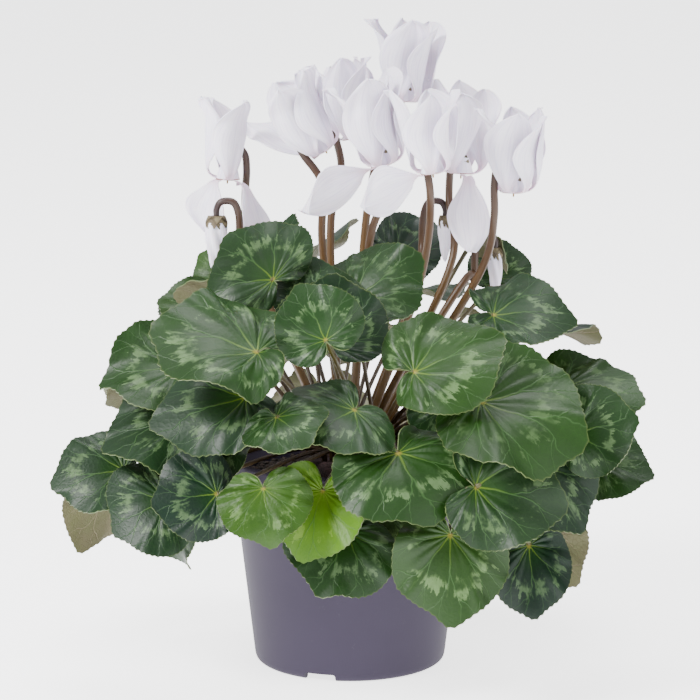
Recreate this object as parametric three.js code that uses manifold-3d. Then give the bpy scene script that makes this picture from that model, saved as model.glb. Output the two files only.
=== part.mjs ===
// A potted cyclamen: a nursery pot of soil with a half-buried tuber, from whose crown rise
// hooked flower stems, reflexed blooms, nodding buds and stalked heart-shaped leaves.
// Millimetres, +Z up. The origin is on the pot's axis, at floor level; -Y is the front.
import * as THREE from 'three';
import { mergeVertices } from 'three/addons/utils/BufferGeometryUtils.js';
import Module from 'manifold-3d';

const wasm = await Module();
wasm.setup();
const UPRIGHT = new THREE.Vector3(0, 0, 1);

// ---------------------------------------------------------------- driving dimensions
const GAP = 0.35;                 // clear space between touching pieces

const POT_HEIGHT = 100;
const POT_RIM_RADIUS = 60;
const POT_RIM_HEIGHT = 11;
const POT_NECK_RADIUS = 55;       // wall just under the rim
const POT_BASE_RADIUS = 45;
const POT_WALL = 1.6;
const POT_FLOOR = 4;              // underside of the floor, above the foot ring
const FOOT_WIDTH = 3;
const FOOT_BEVEL = 2;
const POT_SEGMENTS = 24;
const RIM_WALL = 3;
const RIM_BEVEL = 1.5;
const LIP_BEVEL = 1;
const RIM_STEP = 3;               // height of the sloping shoulder inside the rim
const FLOOR_BEVEL = 2;            // where the wall meets the floor, inside
const FOOT_SLOPE = 1.5;           // inner side of the foot ring
const NOTCH_COUNT = 3;
const NOTCH_WIDTH = 15;
const NOTCH_HEIGHT = 3.4;
const NOTCH_TURN = -108.5;        // degrees, the notch that shows at the front
const DRAIN_COUNT = 5;
const DRAIN_RADIUS = 3.5;
const DRAIN_CIRCLE = 30;
const DRILL_LENGTH = 20;
const DRILL_SIDES = 8;

const SOIL_TOP = 88;
const SOIL_SEGMENTS = 24;
const SOIL_CLEARANCE = 0.6;       // beyond the gap, because the pot's wall has flat facets
const SOIL_TAPER = 0.97;          // of the wall's slope
const SOIL_BEVEL = 3;
const SOIL_DISH = 8;              // width of the sunken edge of the soil's surface
const SOIL_SHOULDER = 6;          // width of the level ring round the tuber
const TUBER_RADIUS = 26.5;
const TUBER_HEIGHT = 30;
const TUBER_TOP = 99;             // flat crown, where everything leaves it
const TUBER_SEGMENTS = 12;
const CROWN_BEVEL = 2.5;
const ROOTED = 2;                 // how deep a stem stands in its hole in the tuber
const HOLE_SIDES = 6;

const STEM_RADIUS = 1.8;          // flower stems
const STEM_SIDES = 5;
const STEM_STEPS = 11;
const SLEEVE = 0.75;               // space cut for a stem in its bloom or bud
const HOOK_REACH = 9.5;           // from a bloom's axis to the stem beside its mouth
// the hook over a bloom: parts of the reach, and heights above the mouth
const HOOK_SPOTS = [[1, -12], [1, 4], [0.86, 11], [0.46, 14.5], [0, 12.5]];

const STALK_RADIUS = 1.25;        // leaf stalks
const STALK_STEPS = 4;
const STALK_RISE = 1.6;           // upright part of a stalk above the crown
const STALK_START = { out: 6, up: 16 };  // how a stalk leaves the crown
const STALK_END = { up: 0.8, along: 0.6 };  // how it meets its blade
const BOW_AT_START = 0.1;         // the part of a bow that the stalk's start takes
const STALK_SECTORS = [0.3, 0.7]; // parts of the way round a blade where its stalk's corners fall
const INNER_RING = 14.2;          // where the steep stalks leave the crown
const OUTER_RING = 19.9;          // where the low stalks leave it

const BLADE_THICKNESS = 0.9;
const BLADE_SPOKES = 9;           // segments of the inner ring; the margin has twice as many
const BLADE_INNER = 0.45;         // the inner ring, as a part of the way to the margin
const BLADE_ROUNDNESS = 0.32;     // 0 is a circle round the stalk, more draws the tip out
const BLADE_POINT = 0.07;         // how far the tip stands out, and how wide it is
const BLADE_POINT_SPREAD = 0.2;
const SINUS = 0.34;               // half the notch between the two basal lobes, radians
const BLADE_EDGE = Math.PI - SINUS - 0.04;  // the lobes' corners, seen from the stalk end
const LOBE_ROUNDING = 0.55;
const FUNNEL = 0.07;              // how deep the stalk end is sunk in the blade
const FUNNEL_SPREAD = 0.3;
const WAVE_GROWTH = 2.5;          // power by which the waves grow towards the margin
const MARGIN_WAVES = 4;
const PLAIN_LEAF = { wide: 1, arch: 0.3, curl: [0.25, 0.25], wave: 0.09 };
const WAVE_TURN = 1.9;            // from one leaf's margin waves to the next leaf's
const HEART = [0, 0, 120];        // blades move away from here
const LIFT_STEP = 1.5;            // by this much at a time, until they are clear
const LIFT_STEPS = 24;

const PETAL_THICKNESS = 0.8;
const PETAL_WIDTH = 23;
const PETAL_STEPS = 20;
const PETAL_ROWS = [0.2, 0.45, 0.75, 1];
const PETAL_COLUMNS = [-1, -0.35, 0.35, 1];
const PETAL_FLARE = 100;          // degrees from the bloom's axis at which it leaves the mouth
const PETAL_TURN = 0.2;          // the part of a petal in which it turns back from the mouth
const PETAL_WIDEST = 0.55;
const PETAL_FOOT = 0.15;          // its width at the mouth, against the widest
const TIP_WIDTH = 0.16;
const TIP_ROUNDING = 0.7;
const PETAL_WRAP = 11.5;           // radius at which upright petals wrap round the bloom's axis
const PETAL_SPIRAL = 3.6;         // millimetres a radian: one edge is tucked under the next petal
const SPIRAL_REACH = 0.2;         // the part of a petal in which it tucks in or twists
const PETAL_SWEEP = 30;           // degrees that the tips turn round the axis
const SPREAD_OPENING = 35;        // degrees: petals more open than this stand free, nearly flat
const LOOSE_CURL = 26;            // radius across one of those
const TUBE_LENGTH = 8;
const MOUTH_RADIUS = 5.4;
const TUBE_PROFILE = [[MOUTH_RADIUS, 0], [3.2, TUBE_LENGTH - 1]];
const MOUTH_STEPS = [0, 1 / 3, 2 / 3];  // where the columns of a petal meet the mouth

const BUD_RADIUS = 5;
const BUD_SEGMENTS = 7;
const BUD_HOOK = 5;               // half the width of the hook a bud hangs from
const BUD_DROP = 7;               // from the top of the hook to the top of the bud
// a bud's outline: parts of its radius, and parts of its length
const BUD_PROFILE = [[0, 0], [0.55, 0], [0.95, 0.16], [1, 0.38], [0.72, 0.7], [0.34, 0.92], [0, 1]];
// the hook over a bud: parts of its half width, and heights against its top
const BUD_HOOK_SPOTS = [[1.2, -22], [1, -6], [0.5, -1], [-0.6, -1], [-1, -4.5]];

const POT_COLOUR = 0x78727f;
const SOIL_COLOUR = 0x2b201a;
const TUBER_COLOUR = 0x4a2f33;
const STEM_COLOUR = 0x8a4a28;
const PETAL_COLOUR = 0xf1eef7;
const LEAF_COLOURS = [0x35593b, 0x3f6b45, 0x4d7a48];
const MATT = 1;
const SATIN = 0.55;

// ---------------------------------------------------------------- the leaves
// at: where the stalk meets the blade.  tip: from there to the tip.  face: the way the
// upper side looks.  wide: width against a plain blade.  arch: how far the midrib bends
// down, curl: how far the left and right halves bend down, both in radians.
// They are listed from the inside of the plant outwards.
const LEAVES = [
  // behind the flowers
  { at: [-36, 50, 177], tip: [9, 8, 24], face: [-0.9, -0.2, 0.5], wide: 0.6, curl: [0.9, 0.9] },
  { at: [-22, 48, 180], tip: [26, 6, 17], face: [-0.2, 0.4, 0.9], wide: 1.2, curl: [-0.4, 0.5] },
  { at: [22, 58, 182], tip: [18, 6, 14], face: [0.2, -0.6, 0.8], wide: 1.1 },
  { at: [52, 34, 184], tip: [13, -2, -15], face: [0.5, 0.4, 0.8], curl: [0.5, 0.2] },
  { at: [66, 46, 170], tip: [4, 6, 16], face: [0, -0.7, 0.7], wide: 1.2 },
  // the back
  { at: [-24, 74, 160], tip: [-8, 28, 2], face: [-0.1, 0.4, 0.9] },
  { at: [30, 76, 160], tip: [14, 28, -2], face: [0.1, 0.5, 0.9], wide: 1.1 },
  { at: [-60, 50, 158], tip: [-24, 24, -4], face: [-0.4, 0.4, 0.8] },
  { at: [66, 62, 152], tip: [26, 22, -6], face: [0.4, 0.5, 0.8], wide: 1.1 },
  { at: [2, 92, 140], tip: [-4, 28, -18], face: [0, 0.7, 0.8], wide: 1.1 },
  { at: [-42, 86, 130], tip: [-14, 28, -18], face: [-0.3, 0.8, 0.6] },
  { at: [48, 90, 124], tip: [16, 26, -18], face: [0.3, 0.8, 0.6], wide: 1.1 },
  { at: [-86, 42, 128], tip: [-28, 18, -10], face: [-0.6, 0.4, 0.7] },
  { at: [90, 42, 124], tip: [26, 16, -12], face: [0.6, 0.4, 0.7] },
  { at: [-72, 74, 102], tip: [-20, 24, -18], face: [-0.6, 0.6, 0.6] },
  { at: [74, 76, 102], tip: [20, 22, -20], face: [0.6, 0.6, 0.6] },
  { at: [-14, 102, 106], tip: [-6, 18, -28], face: [-0.1, 0.9, 0.5], wide: 1.1 },
  { at: [26, 104, 94], tip: [6, 14, -26], face: [0.2, 0.9, 0.4] },
  { at: [-46, 92, 82], tip: [-8, 14, -26], face: [-0.4, 0.8, 0.4] },
  { at: [58, 86, 78], tip: [10, 12, -26], face: [0.4, 0.8, 0.4] },
  // upper front
  { at: [2, -38, 179], tip: [28, 8, 14], face: [0, -0.6, 0.8], curl: [0.1, 0.7] },
  { at: [-14, -46, 175], tip: [-2, 15, 16], face: [0, -0.5, 0.9], wide: 1.3 },
  { at: [-8, -60, 160], tip: [0, 8, 28], face: [0.1, -0.9, 0.4], wide: 1.25, arch: -0.5 },
  { at: [41, -58, 134], tip: [3, -10, -18], face: [0.2, -0.6, 0.7], wide: 1.1 },
  { at: [-31, -42, 182], tip: [-20, 8, 16], face: [-0.2, -0.7, 0.7], wide: 1.4 },
  // left side
  { at: [-60, 6, 182], tip: [-10, 6, 8], face: [-0.5, -0.7, 0.5], wide: 1.2 },
  { at: [-58, -6, 162], tip: [-22, 0, 4], face: [-0.4, -0.7, 0.6] },
  { at: [-56, -24, 176], tip: [-22, 0, 0], face: [-0.1, 0.8, 0.6], curl: [0.6, 0.2] },
  { at: [-98, -10, 130], tip: [-14, 0, -6], face: [-0.2, 0.8, 0.5], wide: 1.1 },
  { at: [-76, -44, 148], tip: [-34, -4, -6], face: [-0.3, -0.6, 0.8], curl: [0.3, -0.5] },
  { at: [-70, -56, 130], tip: [-36, -4, -16], face: [-0.3, -0.7, 0.7], wide: 0.9 },
  { at: [-58, -62, 118], tip: [-14, -10, -16], face: [-0.1, -0.7, 0.6] },
  { at: [-112, -22, 86], tip: [-12, -4, -24], face: [-0.2, 0.8, 0.3], wide: 0.9 },
  { at: [-82, -42, 82], tip: [9, -6, -24], face: [-0.8, -0.5, 0.3], wide: 0.8 },
  { at: [-79, -52, 106], tip: [-14, 4, 8], face: [-0.2, -0.8, 0.6], wide: 1.2 },
  { at: [-103, -46, 101], tip: [-30, -2, -6], face: [-0.2, -0.8, 0.6], wide: 0.95 },
  { at: [-83, -66, 92], tip: [-22, -4, -14], face: [-0.2, -0.9, 0.4], wide: 1.2 },
  { at: [-59, -84, 99], tip: [-26, -2, -4], face: [-0.1, -0.9, 0.4], wide: 1.1 },
  // right side
  { at: [80, -12, 160], tip: [32, 0, -6], face: [0.1, 0.3, 0.9], curl: [-0.4, 0.4] },
  { at: [65, -36, 171], tip: [33, -2, -1], face: [0, -0.5, 0.85], wide: 1.05 },
  { at: [96, -38, 138], tip: [36, -6, -8], face: [0.1, -0.3, 0.9], wide: 0.9, curl: [-0.6, 0.8] },
  { at: [112, -28, 102], tip: [25, -2, -8], face: [0.4, -0.8, 0.5], curl: [0.6, 0.2] },
  { at: [97, -62, 122], tip: [25, -2, 6], face: [0.2, -0.9, 0.3], wide: 1.1 },
  // lower front
  { at: [13, -70, 91], tip: [-2, -12, -26], face: [0, -0.9, 0.4] },
  { at: [-1, -84, 82], tip: [-12, -12, -26], face: [0, -0.9, 0.4], wide: 1.1 },
  { at: [-12, -86, 101], tip: [-9, -12, -26], face: [0, -0.9, 0.5], curl: [-0.5, -0.2] },
  { at: [-38, -102, 106], tip: [4, -8, -22], face: [0, -0.9, 0.3], wide: 1.2 },
  { at: [84, -54, 78], tip: [18, -6, -24], face: [-0.5, 0.7, 0.4], wide: 0.8 },
  { at: [84, -66, 108], tip: [18, -8, -26], face: [0.4, -0.8, 0.3] },
  { at: [80, -78, 74], tip: [2, -10, -29], face: [0, -0.9, 0.4], wide: 0.85 },
  { at: [44, -102, 85], tip: [0, -8, -36], face: [0, -0.9, 0.3], wide: 0.95 },
  { at: [21, -98, 121], tip: [12, -18, -26], face: [0, -0.6, 0.8], wide: 1.35, arch: 0.7 },
  { at: [54, -106, 108], tip: [35, 2, -8], face: [-0.1, -0.8, 0.5], wide: 1.1 },
  // middle front
  { at: [56, -84, 141], tip: [42, -8, -20], face: [0, -0.5, 0.85], curl: [-0.4, 0.5] },
  { at: [28, -88, 155], tip: [36, 6, 10], face: [0, -0.6, 0.75], curl: [0.3, 0.4] },
  { at: [2, -78, 136], tip: [-20, -16, -8], face: [0, -0.6, 0.8], wide: 1.4 },
  { at: [-30, -92, 136], tip: [14, -14, -8], face: [0.2, -0.7, 0.6], wide: 1.3 },
  { at: [-46, -84, 143], tip: [-37, 0, -14], face: [-0.1, -0.7, 0.7], wide: 0.9 },
  { at: [-36, -78, 159], tip: [-43, 6, 8], face: [-0.1, -0.4, 0.9], curl: [0.8, 0.1] },
  { at: [-10, -82, 166], tip: [-11, 6, 21], face: [-0.1, -0.9, 0.4], wide: 1.1 },
];

// ---------------------------------------------------------------- the flowers
// mouth: centre of the mouth.  lean: the way the swept-back petals point.  from: the
// side of the mouth, degrees, on which the stem passes it.  petals: for each one, its
// bearing about the lean, how far it opens (0 swept back, 90 square to the lean, more
// hangs), and its length.  mid: a point the stem passes through.  root: its place in
// the crown.
const BLOOMS = [
  { mouth: [-57, 12, 227], lean: [0.05, 0, 1], from: 25, mid: [-45, 6, 188], root: [-8.5, 2],
    petals: [[100, 2, 38], [165, 0, 40], [220, 165, 26], [275, -2, 40], [332, 165, 45]] },
  { mouth: [-12, 2, 242], lean: [-0.55, -0.1, 0.85], from: 190, mid: [-13, 2, 199],
    root: [-3.5, -1.5],
    petals: [[10, 2, 38], [75, 4, 38], [140, 42, 40], [240, 5, 40], [300, 4, 40]] },
  { mouth: [2, 34, 243], lean: [-0.2, 0.15, 1], from: 205, mid: [-9, 22, 205], root: [-3.5, 4.5],
    petals: [[15, 4, 40], [85, 4, 38], [150, 5, 40], [245, 5, 40], [305, 2, 38]] },
  { mouth: [15, -14, 237], lean: [-0.25, 0, 1], from: 90, mid: [10, -8, 205], root: [1, -5],
    petals: [[0, 2, 44], [140, 4, 42], [205, 104, 40, 1.3], [252, 4, 44], [308, 3, 42]] },
  { mouth: [25, 20, 262], lean: [0.05, 0.1, 1], from: 200, mid: [8, 12, 212], root: [1, 1.5],
    petals: [[10, 4, 40], [75, 2, 41], [140, 6, 40], [250, 4, 40], [310, 5, 38]] },
  { mouth: [37, -40, 237], lean: [-0.15, 0, 1], from: 105, mid: [33, -10, 185],
    root: [5.2, -2.6],
    petals: [[45, 2, 38], [145, 4, 42], [200, 108, 32, 1.2], [262, 2, 38], [322, 4, 38]] },
  { mouth: [52, 22, 228], lean: [0.05, 0.1, 1], from: 120, mid: [48, 10, 190], root: [6, 1.5],
    petals: [[10, 2, 42], [70, 2, 46], [170, 5, 46], [235, 4, 40], [290, 165, 39, 1]] },
  { mouth: [75, -10, 224], lean: [0, 0, 1], from: 200, mid: [62, -8, 190], root: [9.7, -3.8],
    petals: [[0, 4, 40], [65, 2, 40], [140, 4, 40], [245, 2, 40], [305, 5, 38]] },
];

// apex: top of the stem's hook.  from: the side of it, degrees, on which the stem rises.
// thick: thickness against a plain bud.  mid: a point the stem passes through.
const BUDS = [
  { apex: [-56, -18, 221], from: 0, length: 29, thick: 1.05, mid: [-46, -12, 190], root: [-8, -3] },
  { apex: [64, 26, 199], from: 200, length: 25, thick: 0.7, mid: [57, 22, 180], root: [9.8, 6] },
  { apex: [40, 30, 214], from: 180, length: 22, thick: 0.7, mid: [33, 20, 180], root: [4.4, 7] },
];

// ---------------------------------------------------------------- solids
function vector(list) {
  return new THREE.Vector3(...list);
}

function solidFrom(geometry) {
  const bare = geometry.clone();
  bare.deleteAttribute('normal');
  bare.deleteAttribute('uv');
  const welded = mergeVertices(bare, 1e-4);
  const mesh = new wasm.Mesh({
    numProp: 3,
    vertProperties: new Float32Array(welded.attributes.position.array),
    triVerts: new Uint32Array(welded.index.array),
  });
  return new wasm.Manifold(mesh);
}

function geometryFrom(solid) {
  const mesh = solid.simplify(0.04).getMesh();
  const geometry = new THREE.BufferGeometry();
  geometry.setAttribute('position', new THREE.BufferAttribute(mesh.vertProperties, 3));
  geometry.setIndex(new THREE.BufferAttribute(mesh.triVerts, 1));
  geometry.computeVertexNormals();
  return geometry;
}

// the largest body of a solid that a cut may have split
function mainBody(solid) {
  const bodies = solid.decompose();
  bodies.sort((a, b) => b.volume() - a.volume());
  return bodies[0];
}

// a surface given by points and triangles, thickened downwards: both faces are
// triangulated alike, and a wall closes the margin
function thicken(points, faces, thickness) {
  const normals = points.map(() => new THREE.Vector3());
  const open = new Map();
  for (const [a, b, c] of faces) {
    const ab = points[b].clone().sub(points[a]);
    const ac = points[c].clone().sub(points[a]);
    const normal = ab.cross(ac);
    for (const corner of [a, b, c]) normals[corner].add(normal);
    for (const [from, to] of [[a, b], [b, c], [c, a]]) {
      if (open.has(`${to},${from}`)) open.delete(`${to},${from}`);
      else open.set(`${from},${to}`, [from, to]);
    }
  }
  const under = points.map((point, i) => {
    return point.clone().addScaledVector(normals[i].normalize(), -thickness);
  });
  const count = points.length;
  const index = [];
  for (const [a, b, c] of faces) index.push(a, b, c, a + count, c + count, b + count);
  for (const [from, to] of open.values()) {
    index.push(to, from, from + count, to, from + count, to + count);
  }
  const geometry = new THREE.BufferGeometry();
  const all = [...points, ...under].flatMap((point) => point.toArray());
  geometry.setAttribute('position', new THREE.Float32BufferAttribute(all, 3));
  geometry.setIndex(index);
  return geometry;
}

function polygon(sides, radius) {
  const corners = [];
  for (let i = 0; i < sides; i += 1) {
    const turn = (2 * Math.PI * i) / sides;
    corners.push(new THREE.Vector2(radius * Math.cos(turn), radius * Math.sin(turn)));
  }
  return new THREE.Shape(corners);
}

function rod(curve, radius, sides, steps) {
  const shape = polygon(sides, radius);
  return solidFrom(new THREE.ExtrudeGeometry(shape, { steps, extrudePath: curve }));
}

function lathe(profile, segments) {
  const points = profile.map(([radius, height]) => new THREE.Vector2(radius, height));
  const geometry = new THREE.LatheGeometry(points, segments);
  geometry.rotateX(Math.PI / 2);
  return solidFrom(geometry);
}

// ---------------------------------------------------------------- pot and soil
function makePot() {
  const inner = POT_BASE_RADIUS - POT_WALL;
  const rimFoot = POT_HEIGHT - POT_RIM_HEIGHT;
  const footInner = POT_BASE_RADIUS - FOOT_BEVEL - FOOT_WIDTH;
  const shell = lathe([
    [0, POT_FLOOR],
    [footInner - FOOT_SLOPE, POT_FLOOR],
    [footInner, 0],
    [POT_BASE_RADIUS - FOOT_BEVEL, 0],
    [POT_BASE_RADIUS - FOOT_BEVEL / 4, FOOT_BEVEL * 0.6],
    [POT_BASE_RADIUS, FOOT_BEVEL * 1.5],
    [POT_NECK_RADIUS, rimFoot - LIP_BEVEL],
    [POT_RIM_RADIUS - RIM_BEVEL, rimFoot],
    [POT_RIM_RADIUS, rimFoot + RIM_BEVEL],
    [POT_RIM_RADIUS, POT_HEIGHT - LIP_BEVEL],
    [POT_RIM_RADIUS - LIP_BEVEL, POT_HEIGHT],
    [POT_RIM_RADIUS - RIM_WALL, POT_HEIGHT],
    [POT_RIM_RADIUS - RIM_WALL, rimFoot + RIM_STEP],
    [POT_NECK_RADIUS - POT_WALL, rimFoot],
    [inner, POT_FLOOR + POT_WALL + FLOOR_BEVEL],
    [inner - FLOOR_BEVEL, POT_FLOOR + POT_WALL],
    [0, POT_FLOOR + POT_WALL],
  ], POT_SEGMENTS);
  let pot = shell;
  for (let i = 0; i < NOTCH_COUNT; i += 1) {
    const turn = NOTCH_TURN + (360 * i) / NOTCH_COUNT;
    const block = new THREE.BoxGeometry(4 * FOOT_WIDTH, NOTCH_WIDTH, 2 * NOTCH_HEIGHT);
    block.translate(POT_BASE_RADIUS, 0, 0);
    block.rotateZ(THREE.MathUtils.degToRad(turn));
    pot = pot.subtract(solidFrom(block));
  }
  for (let i = 0; i < DRAIN_COUNT; i += 1) {
    const turn = (2 * Math.PI * i) / DRAIN_COUNT;
    const drill = new THREE.CylinderGeometry(DRAIN_RADIUS, DRAIN_RADIUS, DRILL_LENGTH, DRILL_SIDES);
    drill.rotateX(Math.PI / 2);
    drill.translate(DRAIN_CIRCLE * Math.cos(turn), DRAIN_CIRCLE * Math.sin(turn), 0);
    pot = pot.subtract(solidFrom(drill));
  }
  return pot;
}

function tuberShape(extra) {
  return lathe([
    [0, TUBER_TOP - TUBER_HEIGHT - extra],
    [TUBER_RADIUS * 0.6, TUBER_TOP - TUBER_HEIGHT * 0.92 - extra],
    [TUBER_RADIUS + extra, TUBER_TOP - TUBER_HEIGHT * 0.5],
    [TUBER_RADIUS + extra, TUBER_TOP - TUBER_HEIGHT * 0.25],
    [TUBER_RADIUS - CROWN_BEVEL + extra, TUBER_TOP + extra],
    [0, TUBER_TOP + extra],
  ], TUBER_SEGMENTS);
}

function makeSoil() {
  const floor = POT_FLOOR + POT_WALL + GAP;
  const slope = (POT_NECK_RADIUS - POT_BASE_RADIUS) / (POT_HEIGHT - POT_RIM_HEIGHT - LIP_BEVEL);
  const inner = POT_BASE_RADIUS - POT_WALL - GAP - SOIL_CLEARANCE;
  const reach = (height) => inner + SOIL_TAPER * slope * height;
  const body = lathe([
    [0, floor],
    [reach(0) - SOIL_BEVEL, floor],
    [reach(0), floor + SOIL_BEVEL],
    [reach(SOIL_TOP), SOIL_TOP - SOIL_BEVEL],
    [reach(SOIL_TOP) - SOIL_DISH, SOIL_TOP - SOIL_BEVEL / 3],
    [TUBER_RADIUS + SOIL_SHOULDER, SOIL_TOP],
    [0, SOIL_TOP],
  ], SOIL_SEGMENTS);
  return body.subtract(tuberShape(2 * GAP));
}

// ---------------------------------------------------------------- leaf blades
// a length bent into an arc of the given curvature: how far along, and how far down
function bend(length, curvature) {
  if (Math.abs(curvature) < 0.01) return [length, 0];
  const angle = curvature * length;
  return [Math.sin(angle) / curvature, (1 - Math.cos(angle)) / curvature];
}

function bladeRadius(angle) {
  const plain = 1 - BLADE_ROUNDNESS + BLADE_ROUNDNESS * Math.cos(angle);
  const point = BLADE_POINT * Math.exp(-((angle / BLADE_POINT_SPREAD) ** 2));
  const fromSinus = Math.min(1, (Math.PI - SINUS - Math.abs(angle)) / LOBE_ROUNDING);
  return (plain + point) * Math.sqrt(fromSinus * (2 - fromSinus));
}

function bladeFrame(leaf) {
  const chord = vector(leaf.tip);
  const along = chord.clone().normalize();
  const face = vector(leaf.face);
  const up = face.addScaledVector(along, -face.dot(along)).normalize();
  const half = leaf.arch / 2;
  const rise = up.clone();
  up.multiplyScalar(Math.cos(half)).addScaledVector(along, -Math.sin(half));
  along.multiplyScalar(Math.cos(half)).addScaledVector(rise, Math.sin(half));
  const side = up.clone().cross(along);
  const length = (chord.length() * half) / Math.sin(half);
  return { along, up, side, length };
}

// the upper side of a blade, reach being the part of the way to the margin
function bladePoint(leaf, frame, reach, angle) {
  const radius = reach * bladeRadius(angle);
  const [forward, drop] = bend(radius * Math.cos(angle), leaf.arch);
  const across = radius * Math.sin(angle) * leaf.wide;
  const curl = across > 0 ? leaf.curl[0] : leaf.curl[1];
  const [sideways, fall] = bend(across, curl);
  const sunk = FUNNEL * (1 - Math.exp(-((reach / FUNNEL_SPREAD) ** 2)));
  const wave = leaf.wave * reach ** WAVE_GROWTH * Math.sin(MARGIN_WAVES * angle + leaf.phase);
  const height = sunk + wave - drop - fall;
  return vector(leaf.at)
    .addScaledVector(frame.along, frame.length * forward)
    .addScaledVector(frame.side, frame.length * sideways)
    .addScaledVector(frame.up, frame.length * height);
}

// the upper side of a blade: its stalk end, an inner ring and the margin
function bladeSurface(leaf, frame) {
  const points = [vector(leaf.at)];
  for (let i = 0; i <= BLADE_SPOKES; i += 1) {
    const angle = BLADE_EDGE * ((2 * i) / BLADE_SPOKES - 1);
    points.push(bladePoint(leaf, frame, BLADE_INNER, angle));
  }
  const rim = points.length;
  for (let i = 0; i <= 2 * BLADE_SPOKES; i += 1) {
    const angle = BLADE_EDGE * (i / BLADE_SPOKES - 1);
    points.push(bladePoint(leaf, frame, 1, angle));
  }
  const faces = [];
  for (let i = 0; i < BLADE_SPOKES; i += 1) {
    const near = 1 + i;
    const far = rim + 2 * i;
    faces.push([0, near, near + 1]);
    faces.push([near, far, far + 1]);
    faces.push([near, far + 1, near + 1]);
    faces.push([near + 1, far + 1, far + 2]);
  }
  return { points, faces };
}

function bladeSolid(leaf) {
  const { points, faces } = bladeSurface(leaf, bladeFrame(leaf));
  return solidFrom(thicken(points, faces, BLADE_THICKNESS));
}

// the corners of a stalk's foot all look the same ways, so that two stalks can share it
function nearestOfFour(direction, first) {
  const second = UPRIGHT.clone().cross(first);
  const ways = [first, second, first.clone().negate(), second.clone().negate()];
  return ways.sort((a, b) => b.dot(direction) - a.dot(direction))[0];
}

// the four corners of a stalk at each step down from the blade, kept free of twist
function stalkRings(frame, curve) {
  const rings = [];
  const base = curve.getPoint(0);
  const outward = base.clone().setZ(0).normalize();
  let toSinus = frame.along.clone().negate();
  for (let step = STALK_STEPS; step >= -1; step -= 1) {
    const along = Math.max(step, 0) / STALK_STEPS;
    const centre = curve.getPoint(along);
    let ahead = curve.getTangent(along);
    if (step === STALK_STEPS) {
      ahead = frame.up.clone();
      centre.addScaledVector(frame.up, -BLADE_THICKNESS);
    }
    if (step <= 0) {
      ahead = UPRIGHT;
      toSinus = nearestOfFour(toSinus, outward);
    }
    if (step < 0) centre.z = TUBER_TOP - ROOTED;
    toSinus = toSinus.clone().addScaledVector(ahead, -toSinus.dot(ahead)).normalize();
    const side = ahead.clone().cross(toSinus);
    const corners = [toSinus, side, toSinus.clone().negate(), side.clone().negate()];
    rings.push(corners.map((corner) => {
      return centre.clone().addScaledVector(corner, STALK_RADIUS);
    }));
  }
  return rings;
}

// a blade and its stalk as one closed surface: the stalk's top ring takes the place of
// the point under the stalk end
function leafSolid(leaf, curve) {
  const frame = bladeFrame(leaf);
  const { points, faces } = bladeSurface(leaf, frame);
  const rings = stalkRings(frame, curve);
  const geometry = thicken(points, faces, BLADE_THICKNESS);
  const place = Array.from(geometry.attributes.position.array);
  const under = points.length;
  const start = 2 * under;
  rings.flat().forEach((corner) => place.push(corner.x, corner.y, corner.z));
  const ring = (step, corner) => start + 4 * step + (corner % 4);
  const sector = (near) => {
    const part = (near - under - 1) / BLADE_SPOKES;
    return 1 + STALK_SECTORS.filter((edge) => part >= edge).length;
  };
  const index = [];
  const old = geometry.index.array;
  const firstNear = under + 1;
  const lastNear = firstNear + BLADE_SPOKES;
  for (let i = 0; i < old.length; i += 3) {
    const face = [old[i], old[i + 1], old[i + 2]];
    const at = face.indexOf(under);
    if (at < 0) {
      index.push(...face);
    } else {
      const others = face.filter((corner) => corner !== under);
      const near = Math.min(...others.filter((corner) => corner >= firstNear));
      const wall = others.some((corner) => corner < under);
      const corner = wall ? (others.includes(lastNear) ? 3 : 1) : sector(near);
      face[at] = ring(0, wall && near === Infinity ? 1 : corner);
      index.push(...face);
    }
  }
  for (let near = firstNear + 1; near < lastNear; near += 1) {
    const before = sector(near - 1);
    const after = sector(near);
    if (before !== after) index.push(near, ring(0, before), ring(0, after));
  }
  index.push(0, ring(0, 0), ring(0, 1), 0, ring(0, 3), ring(0, 0));
  for (let step = 0; step <= STALK_STEPS; step += 1) {
    for (let corner = 0; corner < 4; corner += 1) {
      const a = ring(step, corner);
      const b = ring(step, corner + 1);
      const c = ring(step + 1, corner + 1);
      const d = ring(step + 1, corner);
      index.push(b, a, d, b, d, c);
    }
  }
  const foot = (corner) => ring(STALK_STEPS + 1, corner);
  index.push(foot(2), foot(1), foot(0), foot(3), foot(2), foot(0));
  const whole = new THREE.BufferGeometry();
  whole.setAttribute('position', new THREE.Float32BufferAttribute(place, 3));
  whole.setIndex(index);
  return solidFrom(whole);
}

// ---------------------------------------------------------------- petals and blooms
function petalWidth(along) {
  if (along < PETAL_WIDEST) {
    return 1 - ((1 - PETAL_FOOT) * (1 + Math.cos((Math.PI * along) / PETAL_WIDEST))) / 2;
  }
  const beyond = (along - PETAL_WIDEST) / (1 - PETAL_WIDEST);
  return Math.max(TIP_WIDTH, Math.cos((Math.PI / 2) * beyond) ** TIP_ROUNDING);
}

// the frame of a bloom: its lean, and two directions square to it
function bloomFrame(lean) {
  const up = vector(lean).normalize();
  const east = new THREE.Vector3(1, 0, 0);
  east.addScaledVector(up, -east.dot(up)).normalize();
  const north = up.clone().cross(east);
  return { up, east, north };
}

function outwards(frame, degrees) {
  const turn = THREE.MathUtils.degToRad(degrees);
  const { east, north } = frame;
  return east.clone().multiplyScalar(Math.cos(turn)).addScaledVector(north, Math.sin(turn));
}

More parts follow.
